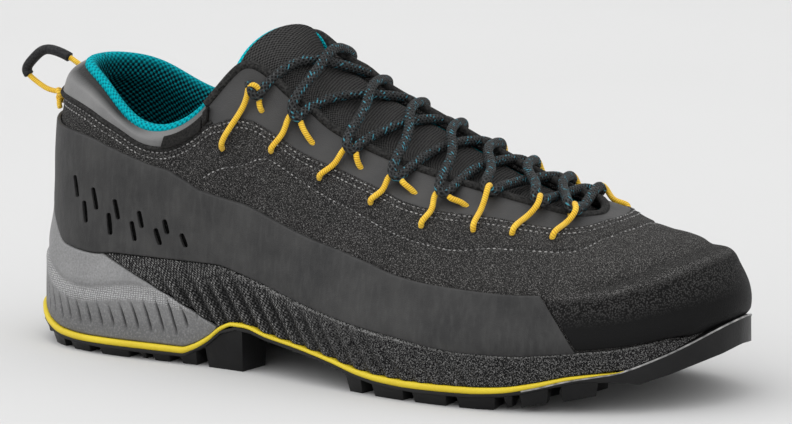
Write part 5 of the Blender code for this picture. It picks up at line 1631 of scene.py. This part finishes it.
def wall_inset(along, share):
    """Inset of the midsole's side at a share of its height, from the strip to the lip."""
    low, high = step_low(along) * lip_lean(along), step_high(along) * lip_lean(along)
    top = np.maximum(lip_lean(along), toe_tuck(along) * (RIM - 0.0004))
    tuck = toe_tuck(along) * (RIM - 0.0006)
    knots = ((0.0, GAP + tuck), (0.46, GAP + low + tuck), (0.58, GAP + high + tuck), (1.0, top))
    inset = np.zeros(np.broadcast(along, share).shape)
    for (a, first), (b, second) in zip(knots, knots[1:]):
        t = np.clip((share - a) / (b - a), 0, 1)
        rise = (second - first) * t * t * (3 - 2 * t)
        inset = inset + rise if a else first + rise
    return inset


def joint_height(along):
    """Height of the sloping joint between the heel foam and the frame."""
    high = HEEL_STACK + FOAM_HIGH * CUP_RISE
    low = EDGE_RISE + FOAM_LOW * ARCH_RISE
    above = high + (low - high) * FOAM_BEND / FOAM_FRONT
    slope = above + (low - above) * (along - FOAM_BEND) / (FOAM_FRONT - FOAM_BEND)
    return np.where(along < FOAM_BEND, 2 * high, slope)


# How far behind its face a side piece ends at its bottom, middle and top
SIDE_BACK = (0.006, 0.0035, 0.0022)
# Rows of a side piece, and the height under which it isn't made
SIDE_ROWS = 34
THINNEST = 0.0008
# Depth of the frame's grooves, and the heel wave's step and bead
RIB_DEPTH = 0.0017
WAVE_STEP = 0.0011
WAVE_BEAD = 0.0004


def side_piece(name, stations, low, high, carve, marks):
    """A piece of the midsole's side between two heights, with rounded edges, carved by a depth function.

    Carving and marks are functions of the way round, the height, its share of the side and the place along.
    """
    points, inward, along = edge_frame(stations)
    bottom, lip = midsole_bottom(along), lip_height(along)
    shares = np.concatenate([[0.0, 0.012, 0.03], np.linspace(0.06, 0.94, SIDE_ROWS), [0.97, 0.988, 1.0]])
    height = low[None, :] + (high - low)[None, :] * shares[:, None]
    share = np.clip((height - bottom) / (lip - bottom), 0, 1)
    away = np.minimum(shares, 1 - shares)[:, None] * (high - low)[None, :]
    edge = 0.0006 * (1 - np.sqrt(1 - (1 - np.clip(away / 0.0007, 0, 1)) ** 2))
    across = distance(stations)
    where = (across[None, :], height, share, along[None, :])
    inset = wall_inset(along[None, :], share) + edge + carve(*where)
    outer = np.empty((*height.shape, 3))
    outer[..., :2] = points[None] + inward[None] * inset[..., None]
    outer[..., 2] = height
    backed = [0, len(shares) // 2, -1]
    inner = outer[backed].copy()
    back = wall_inset(along[None, :], share[backed]) + np.array(SIDE_BACK)[:, None]
    inner[..., :2] = points[None] + inward[None] * back[..., None]
    cloth = np.zeros((len(outer) + 3, len(stations), 2))
    cloth[..., 0] = across[None, :]
    cloth[: len(outer), :, 1] = height
    loops = np.concatenate([outer, inner[::-1]])
    nothing = np.zeros(inner.shape[:2])
    kept = {key: np.concatenate([mark(*where), nothing]) for key, mark in marks.items()}
    return loops_mesh(name, loops, False, cloth, kept)


# Slits of the heel foam: the first one's distance from the heel's back and their spacing and number
SLIT_FIRST = 0.0041
SLIT_SPACING = 0.0056
SLIT_COUNT = 19
# The last two slits start higher and end lower by this much
SLIT_ENDS = {17: (0.002, 0.003), 18: (0.0045, 0.0065)}
# A slit is steep on its heel side and soft on its toe side; its top leans toward the heel
SLIT_STEEP = 0.00022
SLIT_SOFT = 0.00065
SLIT_DEPTH = 0.0013
SLIT_LEAN = 0.36

# Ribs of the frame: spacing and the lean of their tops toward the heel
RIB_SPACING = 0.0068
RIB_LEAN = 0.72


def way_from_heel(across):
    """Distance from the heel's back on either side."""
    return np.abs((across + KNOTS[-1] / 2) % KNOTS[-1] - KNOTS[-1] / 2)


def slit_share(across, height, along):
    """How deep a point lies in a slit of the heel foam, from 0 to 1."""
    away = way_from_heel(across)
    at = height - midsole_bottom(along)
    total = np.zeros(np.broadcast(away, at).shape)
    for i in range(SLIT_COUNT):
        raised, cut_short = SLIT_ENDS.get(i, (0.0, 0.0))
        low = 0.0036 + 0.0005 * (i % 2) + raised
        high = 0.013 + 0.0011 * min(max(i - 11, 0), 5) - cut_short
        lean = SLIT_FIRST + SLIT_SPACING * i + (0.013 - at) * SLIT_LEAN
        off = away - lean
        width = np.where(off < 0, SLIT_STEEP, SLIT_SOFT)
        ends = np.clip((at - low) / 0.003, 0, 1) * np.clip((high - at) / 0.005, 0, 1)
        total = np.maximum(total, np.sqrt(ends) * np.exp(-((off / width) ** 2)))
    return total


def heel_wave(along):
    """Height above the foam's bottom of the crease between its swelling top and its slit lower half."""
    return 0.0196 + 0.0016 * np.cos(along * 30)


def heel_carve(across, height, _share, along):
    """Slits and the step of the wave above them."""
    off = height - midsole_bottom(along) - heel_wave(along)
    fade = np.clip((joint_height(along) - height) / 0.004, 0, 1)
    step = WAVE_STEP / (1 + np.exp(off / 0.0007)) + WAVE_BEAD * np.exp(-((off / 0.0009) ** 2)) - WAVE_BEAD
    return SLIT_DEPTH * slit_share(across, height, along) + step * fade


def heel_stipple(_across, height, _share, along):
    """Mark of the stippled belt under the wave."""
    off = height - midsole_bottom(along) - heel_wave(along)
    belt = np.clip(-off / 0.0008, 0, 1) * np.clip((off + 0.006) / 0.0012, 0, 1)
    return belt * np.clip((0.3 - along) / 0.03, 0, 1)


def heel_slit_shade(across, height, _share, along):
    """Mark of the slits' floors, darkened with painted shade."""
    return np.clip(slit_share(across, height, along) * 1.5 - 0.45, 0, 1)


def rib_zone(share, along):
    """Where the frame's ribs stand out: under the arch, fading toward the lip."""
    zone = np.clip((along - 0.18) / 0.1, 0, 1) * np.clip((0.74 - along) / 0.14, 0, 1)
    return zone * np.clip((0.97 - share) / 0.35, 0, 1)


def rib_wave(across, height):
    """A rib's crest is 1 and the groove between two ribs is 0."""
    phase = (way_from_heel(across) + height * RIB_LEAN) / RIB_SPACING
    return 0.5 + 0.5 * np.cos(2 * np.pi * phase)


def frame_carve(across, height, share, along):
    """Slanting ribs under the arch that fade toward the lip and the forefoot."""
    return RIB_DEPTH * (1 - rib_wave(across, height)) ** 1.5 * rib_zone(share, along)


def frame_rim(_across, height, share, along):
    """The frame's upper edge, where the threads are rubbed pale."""
    return np.clip((share - 0.9) / 0.04, 0, 1) * np.clip((along - 0.3) / 0.1, 0, 1) + 0.0 * height


def frame_ribs(across, height, share, along):
    """Mark of the ribs: 1 on a crest and outside their zone."""
    zone = rib_zone(share, along)
    return 1 - zone * (1 - rib_wave(across, height))


def heel_foam_piece(look):
    """Grey heel foam from the joint's outer end round the heel to its inner end."""
    fine = np.linspace(-6.3, 6.3, 2000)
    along = edge_frame(fine)[2]
    tall = np.minimum(joint_height(along) - 0.0001, lip_height(along)) - midsole_bottom(along)
    stations = fine[tall > THINNEST]
    along = edge_frame(stations)[2]
    low = shown_bottom(along)
    high = np.minimum(joint_height(along) - 0.0001, lip_height(along))
    marks = {"stipple": heel_stipple, "painted_slit_shade": heel_slit_shade}
    obj = side_piece("heel_foam", stations, low, high, heel_carve, marks)
    return finish_piece(obj, look, ["midsole_heel"])


def frame_piece(look):
    """Black frame from behind the ankle on the outer side round the toe to the inner side."""
    fine = np.linspace(0.8, COUNT - 0.8, 1500)
    along = edge_frame(fine)[2]
    tall = lip_height(along) - np.maximum(joint_height(along) + GAP, midsole_bottom(along))
    stations = fine[tall > THINNEST]
    along = edge_frame(stations)[2]
    low = np.maximum(joint_height(along) + GAP, shown_bottom(along))
    sunk = blend(toward_toe(stations), (10.9, 11.7))
    high = np.maximum(lip_height(along) * (1 - sunk) + (low + 0.001) * sunk, low + 0.0009)
    marks = {"rib": frame_ribs, "rim": frame_rim}
    obj = side_piece("moulded_frame", stations, low, high, frame_carve, marks)
    return finish_piece(obj, look, ["midsole_frame"])


# The strip shows this share of its thickness below the frame's rim and thins out to a point here
STRIP_SHOWN = 0.86
STRIP_POINT = 0.904
# Its section: share of its thickness, and way in from the sole's edge
STRIP_PROFILE = (
    (0.0, 0.001), (0.0006, 0.0002), (0.3, -0.0003), (0.7, -0.0003),
    (0.9995, 0.0002), (1.0, 0.001), (1.0, 0.006), (0.0, 0.006),
)


def shown_bottom(along):
    """Lower edge of the midsole's side, which laps a little over the strip."""
    return midsole_bottom(along) - strip_thickness(along) * (1 - STRIP_SHOWN)


def strip_piece(look):
    """Yellow foam strip between outsole and midsole, thinning out toward the toe."""
    stations = np.arange(960) * COUNT / 960
    along = edge_frame(stations)[2]
    keep = along <= STRIP_POINT
    first = int(np.argmin(keep[: len(keep) // 2 + 1]))
    last = len(keep) - int(np.argmin(keep[::-1][: len(keep) // 2 + 1]))
    order = np.concatenate([np.arange(last, len(keep)), np.arange(0, first)])
    at = stations[order]
    at = np.where(at > TOE_TIP, at - COUNT, at)
    along = edge_frame(at)[2]
    base = sole_top(along) + GAP * 0.4
    ending = blend(along, (STRIP_END - 0.02, STRIP_POINT))
    thick = (strip_thickness(along) * STRIP_SHOWN + GAP) * (1.02 - ending)
    points, inward, _ = edge_frame(at)
    loops = []
    for share, inset in STRIP_PROFILE:
        loops.append(np.column_stack([points + inward * inset, base + thick * share]))
    obj = loops_mesh("yellow_strip", np.array(loops), False)
    return finish_piece(obj, look, ["sole_strip"])


def outsole_piece(look):
    """The outsole with its lugs' edges broken by a small bevel."""

    def plain_faces(work):
        bmesh.ops.remove_doubles(work, verts=work.verts, dist=1e-6)
        bmesh.ops.dissolve_limit(work, angle_limit=math.radians(1.0), verts=work.verts, edges=work.edges)
        bmesh.ops.triangulate(work, faces=[face for face in work.faces if len(face.verts) > 4])

    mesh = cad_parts["outsole"].data.copy()
    mesh.name = "rubber_outsole"
    reworked(mesh, plain_faces)
    obj = new_object("rubber_outsole", mesh)
    soften = obj.modifiers.new("edges", "BEVEL")
    soften.width = 0.0006
    soften.segments = 2
    soften.limit_method = "ANGLE"
    soften.angle_limit = math.radians(38)
    settle(obj, 34)
    return finish_piece(obj, look, ["outsole"], smooth=False)


def toe_lip(look):
    """Pale tube along the rubber's upper edge round the toe: a painted highlight where the edge catches the
    light.
    """
    stations = np.linspace(TOE_TIP - 2.7, TOE_TIP + 2.7, 160)
    points, inward, along = edge_frame(stations)
    route = np.column_stack([points + inward * 0.0003, sole_top(along) - 0.0002])
    obj = swept("toe_lip", route, 0.0007, sides=8, samples=400)
    return finish_piece(obj, look)


# Lace, loops and heel loop: thickness of the lace and of the cord as shown
LACE_SHOWN = 0.0038
CORD_SHOWN = 0.0022
# Second foot of each outer loop whose two legs both show, heel to toe: station and level
SECOND_FEET = ((5.3, 0.835), (6.15, 0.855), (6.88, 0.865), (7.68, 0.835), (8.38, 0.85))
# Bow of a two-legged loop at the lace's fold: toward the toe, up and out from the fold's middle.
# The first one lies over the lace; the others pass under it.
FIRST_BOW = (
    (-0.003, 0.001, 0.0014), (-0.0016, 0.0034, 0.0028), (0.0006, 0.004, 0.002), (0.0012, 0.001, -0.001),
)
LOOP_BOW = (
    (-0.0026, 0.0004, -0.0004), (-0.0012, 0.0024, -0.0006),
    (0.0012, 0.0024, -0.0006), (0.0026, 0.0004, -0.0004),
)


def lace_piece(look):
    """Both halves of the lace through the cord loops, with the toe bar."""
    halves = [swept("half", rounded(lace_route(outside)), LACE_SHOWN, sides=16) for outside in (True, False)]
    obj = joined("braided_lace", halves)
    return finish_piece(obj, look, ["lace"])


def between(foot, turn, share, lift):
    """A point over the hide at a share of the way from a loop's foot to the lace's turn."""
    return spot(foot[0] * (1 - share) + turn[0] * share, foot[1] * (1 - share) + turn[1] * share, lift)


def loops_piece(name, turns, feet, second, lift, look, nodes):
    """Cord loops of one side: two legs where both show, else over the lace and back under its far side."""
    reach = (LACE_SHOWN + CORD_SHOWN) / 2 + 0.0001
    over = 0.0012 + CORD_SHOWN / 2
    made = []
    for i, (turn, foot) in enumerate(zip(turns, feet)):
        toeward, upward, out = surface_frame(*turn)
        centre = spot(*turn, lift)
        route = [spot(*foot, -0.0012), between(foot, turn, 0.07, over)]
        route.append(between(foot, turn, 0.5, over + 0.0006))
        if i < len(second):
            for ahead, up, off in LOOP_BOW if i else FIRST_BOW:
                route.append(centre + toeward * ahead + upward * up + out * off)
            route += [between(second[i], turn, 0.4, over + 0.0004), spot(*second[i], -0.0008)]
        else:
            for angle in np.radians([118, 80, 40, 5]):
                route.append(centre + (upward * np.cos(angle) + out * np.sin(angle)) * reach)
            route.append(route[-1] - out * (lift - 0.0008))
        made.append(swept("loop", route, CORD_SHOWN, sides=12))
    return finish_piece(joined(name, made), look, nodes)


def cord_holes(look):
    """Small dark rims where the cords come out of the hide."""
    rims = []
    angles = np.linspace(0, 2 * np.pi, 15)
    for station, level in (*OUTER_FEET, *INNER_FEET, *SECOND_FEET):
        middle = spot(station, level, 0.0005)
        toeward, upward, _ = surface_frame(station, level)
        rim = [middle + (toeward * math.cos(a) + upward * math.sin(a)) * CORD_SHOWN * 0.56 for a in angles]
        rims.append(swept("rim", rim, 0.0009, sides=6, samples=22))
    return finish_piece(joined("cord_holes", rims), look)


# The heel loop's knot: its middle from the cord's lower end, its size, and its tail from the middle
KNOT_PLACE = np.array([-0.004, -0.0004, -0.0012])
KNOT_SIZE = 0.00085
KNOT_TAIL = np.array([[0.0, 0.0, 0.0], [-0.0002, -0.0016, -0.0028], [0.0006, -0.0022, -0.0052]])


def heel_loop(cord, cloth):
    """Heel loop: cord, its sleeve, and the knot with its tail that holds it."""
    high = spot(0.0, PULL_ENDS[0], COVER_GAP + OVERLAY + 3 * GAP)
    low = spot(0.0, PULL_ENDS[1], 4 * GAP)
    bow = [high + np.array([-back, 0, rise]) * COLLAR_HEIGHT for back, rise in PULL_BOW]
    route = np.array([high, *bow, low])
    obj = swept("heel_cord", route, CORD, sides=12, samples=90)
    piece = finish_piece(obj, cord, ["pull_cord"])
    line = smooth_line(route, 90)
    ways = running_length(line)
    at = np.linspace(*PULL_SLEEVE, 30) * ways[-1]
    middle = np.column_stack([np.interp(at, ways, line[:, k]) for k in range(3)])
    sleeve = swept("heel_sleeve", middle, SLEEVE * 0.72, sides=14, samples=60, flat=0.9)
    finish_piece(sleeve, cloth, ["pull_sleeve"])
    turn = np.linspace(0, 2 * np.pi, 40)
    back = np.cos(turn) - 2 * np.cos(2 * turn)
    side = np.sin(turn) + 2 * np.sin(2 * turn)
    heart = low + KNOT_PLACE
    line_of_knot = heart + np.column_stack([-np.sin(3 * turn), side, back]) * KNOT_SIZE
    knot = swept("heel_knot", line_of_knot, CORD, sides=10, samples=90)
    tail = swept("heel_tail", np.array([heart + way for way in KNOT_TAIL]), CORD, sides=10)
    knot = finish_piece(joined("heel_knot", [knot, tail]), cord)


# Stitching


# Stitches of the edge rows; the seam's are a little further apart
STITCHES = {"Spacing": 0.002, "Stitch length": 0.0012, "Thread width": 0.00055}
SEAM_SPACING = 0.0021
# How far below the panel's edge the two edge rows lie, and the seam's stitches below the seam
EDGE_ROWS = (0.0017, 0.0039)
SEAM_ROW = 0.0006


def stitch_tree():
    """Geometry Nodes that lay one short thread at every spacing along a curve."""
    tree = bpy.data.node_groups.new("stitch_rows", "GeometryNodeTree")
    tree.interface.new_socket("Geometry", in_out="INPUT", socket_type="NodeSocketGeometry")
    for name, value in STITCHES.items():
        tree.interface.new_socket(name, in_out="INPUT", socket_type="NodeSocketFloat").default_value = value
    tree.interface.new_socket("Thread", in_out="INPUT", socket_type="NodeSocketMaterial")
    tree.interface.new_socket("Geometry", in_out="OUTPUT", socket_type="NodeSocketGeometry")
    new = tree.nodes.new
    source, result = new("NodeGroupInput"), new("NodeGroupOutput")
    resample = new("GeometryNodeResampleCurve")
    resample.mode = "LENGTH"
    points = new("GeometryNodeInstanceOnPoints")
    tangent = new("GeometryNodeInputTangent")
    align = new("FunctionNodeAlignRotationToVector")
    align.axis = "Z"
    ball = new("GeometryNodeMeshUVSphere")
    ball.inputs["Segments"].default_value = 6
    ball.inputs["Rings"].default_value = 5
    ball.inputs["Radius"].default_value = 0.5
    size = new("ShaderNodeCombineXYZ")
    scale = new("GeometryNodeTransform")
    realize = new("GeometryNodeRealizeInstances")
    colour = new("GeometryNodeSetMaterial")
    for start, output, end, target in (
        (source, "Geometry", resample, "Curve"), (source, "Spacing", resample, "Length"),
        (resample, "Curve", points, "Points"), (tangent, "Tangent", align, "Vector"),
        (align, "Rotation", points, "Rotation"), (source, "Thread width", size, "X"),
        (source, "Thread width", size, "Y"), (source, "Stitch length", size, "Z"),
        (ball, "Mesh", scale, "Geometry"), (size, "Vector", scale, "Scale"),
        (scale, "Geometry", points, "Instance"), (points, "Instances", realize, "Geometry"),
        (realize, "Geometry", colour, "Geometry"), (source, "Thread", colour, "Material"),
        (colour, "Geometry", result, "Geometry"),
    ):
        tree.links.new(start.outputs[output], end.inputs[target])
    return tree


def stitch_rows(name, rows, look, tree, spacing):
    """Stitches along several lines of points, made by the stitch tree and kept as a plain mesh."""
    curve = bpy.data.curves.new(name, "CURVE")
    curve.dimensions = "3D"
    for row in rows:
        spline = curve.splines.new("POLY")
        spline.points.add(len(row) - 1)
        spline.points.foreach_set("co", np.column_stack([placed(row), np.ones(len(row))]).ravel())
    guide = new_object(name + "_guide", curve)
    nodes = guide.modifiers.new("stitches", "NODES")
    nodes.node_group = tree
    values = {**STITCHES, "Spacing": spacing, "Thread": look}
    for item in tree.interface.items_tree:
        if item.in_out == "INPUT" and item.name in values:
            nodes[item.identifier] = values[item.name]
    obj = new_object(name, settled(guide))
    bpy.data.objects.remove(guide, do_unlink=True)
    return finish_piece(obj, look)


def hide_line(stations, levels):
    """Points on the suede's finished face along a line."""
    lengths = section_lengths(stations)
    places = zip(stations, levels, lengths)
    lift = np.array([hide_lift(np.array([s]), np.array([[v]]), np.array([n]))[0, 0] for s, v, n in places])
    return lifted(stations, levels[None, :], (lift + 0.0001)[None, :])[0]


def stitching(look):
    """Two rows under the collar panel and the facing, and the single second seam."""
    tree = stitch_tree()
    at = np.linspace(0.0, COUNT, 420)
    lengths = section_lengths(at)
    rows = [hide_line(at, panel_edge(at) - under / lengths) for under in EDGE_ROWS]
    stitch_rows("edge_stitches", rows, look, tree, STITCHES["Spacing"])
    at = np.linspace(4.0, COUNT - 4.0, 320)
    row = hide_line(at, seam_level(toward_toe(at)) - SEAM_ROW / section_lengths(at))
    stitch_rows("seam_stitches", [row], look, tree, SEAM_SPACING)


# Studio


# World light, then each broad sun: where it comes from, its strength and its spread in degrees
WORLD_LIGHT = 0.89
SUNS = (("key", (-0.55, -0.42, 0.72), 1.1, 95), ("fill", (0.15, -0.2, 0.97), 0.85, 110))


# Floor in metres: how near it begins, where it curves up, the curve's radius, its top and half its width
FLOOR_NEAR = -6.0
FLOOR_FAR = 3.0
FLOOR_CURVE = 2.0
FLOOR_TOP = 7.0
FLOOR_HALF = 9.0


def studio():
    """Pale floor that curves up behind, and soft light from above and from front left."""
    profile = [(FLOOR_NEAR, 0.0), (FLOOR_FAR, 0.0)]
    for i in range(1, 9):
        angle = math.radians(90 * i / 8)
        ahead, up = FLOOR_CURVE * math.sin(angle), FLOOR_CURVE * (1 - math.cos(angle))
        profile.append((FLOOR_FAR + ahead, up))
    profile.append((FLOOR_FAR + FLOOR_CURVE, FLOOR_TOP))
    turn = math.radians(SHOE_TURN)
    away = np.array([-math.sin(turn), math.cos(turn), 0])
    right = np.array([math.cos(turn), math.sin(turn), 0])
    sides = (-FLOOR_HALF, FLOOR_HALF)
    rows = [[away * d + right * side + np.array([0, 0, h]) for side in sides] for d, h in profile]
    quads = quad_grid(len(profile), 2, False, False)
    floor = mesh_object("studio_floor", np.array(rows).reshape(-1, 3), quads)
    paper = shader("studio_paper", 0.9, Specular_IOR_Level=0.1)
    cloud = noise(paper, 3.0)
    link(paper, "Base Color", tint(paper, cloud, 0.3, 0.7, (0.605, 0.605, 0.605), (0.615, 0.615, 0.615)))
    floor.data.materials.append(paper)
    floor.data.shade_smooth()
    world = bpy.data.worlds.new("studio_light")
    bpy.context.scene.world = world
    world.use_nodes = True
    background = world.node_tree.nodes["Background"].inputs
    background["Color"].default_value = (1.0, 1.0, 1.0, 1)
    background["Strength"].default_value = WORLD_LIGHT
    for name, way, strength, spread in SUNS:
        lamp = bpy.data.lights.new(name, "SUN")
        lamp.energy = strength
        lamp.angle = math.radians(spread)
        obj = new_object(name, lamp)
        obj.location = Vector(way) * 2
        obj.rotation_euler = Vector(way).to_track_quat("Z", "Y").to_euler()
    bpy.context.scene.view_settings.view_transform = "Standard"


def camera():
    """The photograph's view of the shoe."""
    turn, rise = math.radians(SHOE_TURN), math.radians(SHOE_RISE)
    way = Vector((math.sin(turn) * math.cos(rise), -math.cos(turn) * math.cos(rise), math.sin(rise)))
    eye = bpy.data.cameras.new("photo_view")
    eye.lens = CAMERA_LENS
    eye.sensor_width = 36.0
    obj = new_object("photo_view", eye)
    obj.location = Vector(LOOK_AT) + way * CAMERA_AWAY
    obj.rotation_euler = (-way).to_track_quat("-Z", "Y").to_euler()
    bpy.context.scene.camera = obj


def dress():
    """Makes every piece with its material."""
    camera()
    yellow = twisted_cord()
    dark_cloth = plain_cloth("sleeve_cloth", (0.01, 0.01, 0.011), (0.04, 0.04, 0.042), 0.5)
    tab_cloth = plain_cloth("label_cloth", (0.007, 0.007, 0.007), (0.022, 0.021, 0.02), 0.7)
    heel_loop(yellow, dark_cloth)
    upper_piece(suede())
    wrap_piece(band())
    cap_piece(pebbled())
    # The slot backing is black mesh darkened further as painted shade.
    slot_backing(plain_cloth("slot_mesh_and_shade", (0.002, 0.002, 0.002), (0.006, 0.006, 0.006), 0.9, shine=0.0))
    collar_piece(glossy_panel())
    facing_piece(facing())
    edging = plain_cloth("edge_binding", (0.008, 0.008, 0.008), (0.042, 0.041, 0.04), 0.75, 1100)
    throat_piping(edging)
    collar_edging(edging)
    label_piece(tab_cloth)
    folded_tab(tab_cloth)
    heel_tab(tab_cloth)
    # The lining's inside colours are painted shade.
    teal = knit(
        "tongue_knit", (0.0, 0.36, 0.42), (0.0, 0.085, 0.115), 470, 430, contrast=(0.15, 0.65),
        inside_shade_colours=((0.0, 0.004, 0.007), (0.0, 0.17, 0.2)),
    )
    lining_piece(teal)
    rim = knit("rim_knit", (0.0, 0.46, 0.54), (0.0, 0.1, 0.14), 4, 520, contrast=(0.1, 0.6))
    tongue_rim(rim)
    cloth = knit("tongue_cloth", (0.064, 0.063, 0.062), (0.004, 0.004, 0.0045), 640, 930)
    tongue_piece(cloth)
    footbed_piece(plain_cloth("insole_fabric", (0.02, 0.02, 0.022), (0.07, 0.07, 0.072)))
    # The heel foam's last value darkens its lower part with painted shade.
    heel_foam_piece(foam("heel_foam", (0.185, 0.185, 0.187), (0.235, 0.235, 0.237), 0.22, 0.6, 0.5))
    frame_piece(woven_frame())
    strip_piece(foam("strip_foam", (0.62, 0.46, 0.02), (0.72, 0.56, 0.03), 0.05, 0.5))
    outsole_piece(rubber())
    # Painted highlight along the toe's rubber edge.
    toe_lip(painted_highlight_rubber())
    lace_piece(braid())
    outer_nodes = [f"lace_loop_outer_{i + 1}" for i in range(len(OUTER_TURNS))]
    inner_nodes = [f"lace_loop_inner_{i + 1}" for i in range(len(INNER_TURNS))]
    loops_piece("outer_loops", OUTER_TURNS, OUTER_FEET, SECOND_FEET, LACE_LIFT, yellow, outer_nodes)
    loops_piece("inner_loops", INNER_TURNS, INNER_FEET, (), INNER_LIFT, yellow, inner_nodes)
    cord_holes(edging)
    stitching(thread())
    studio()


dress()
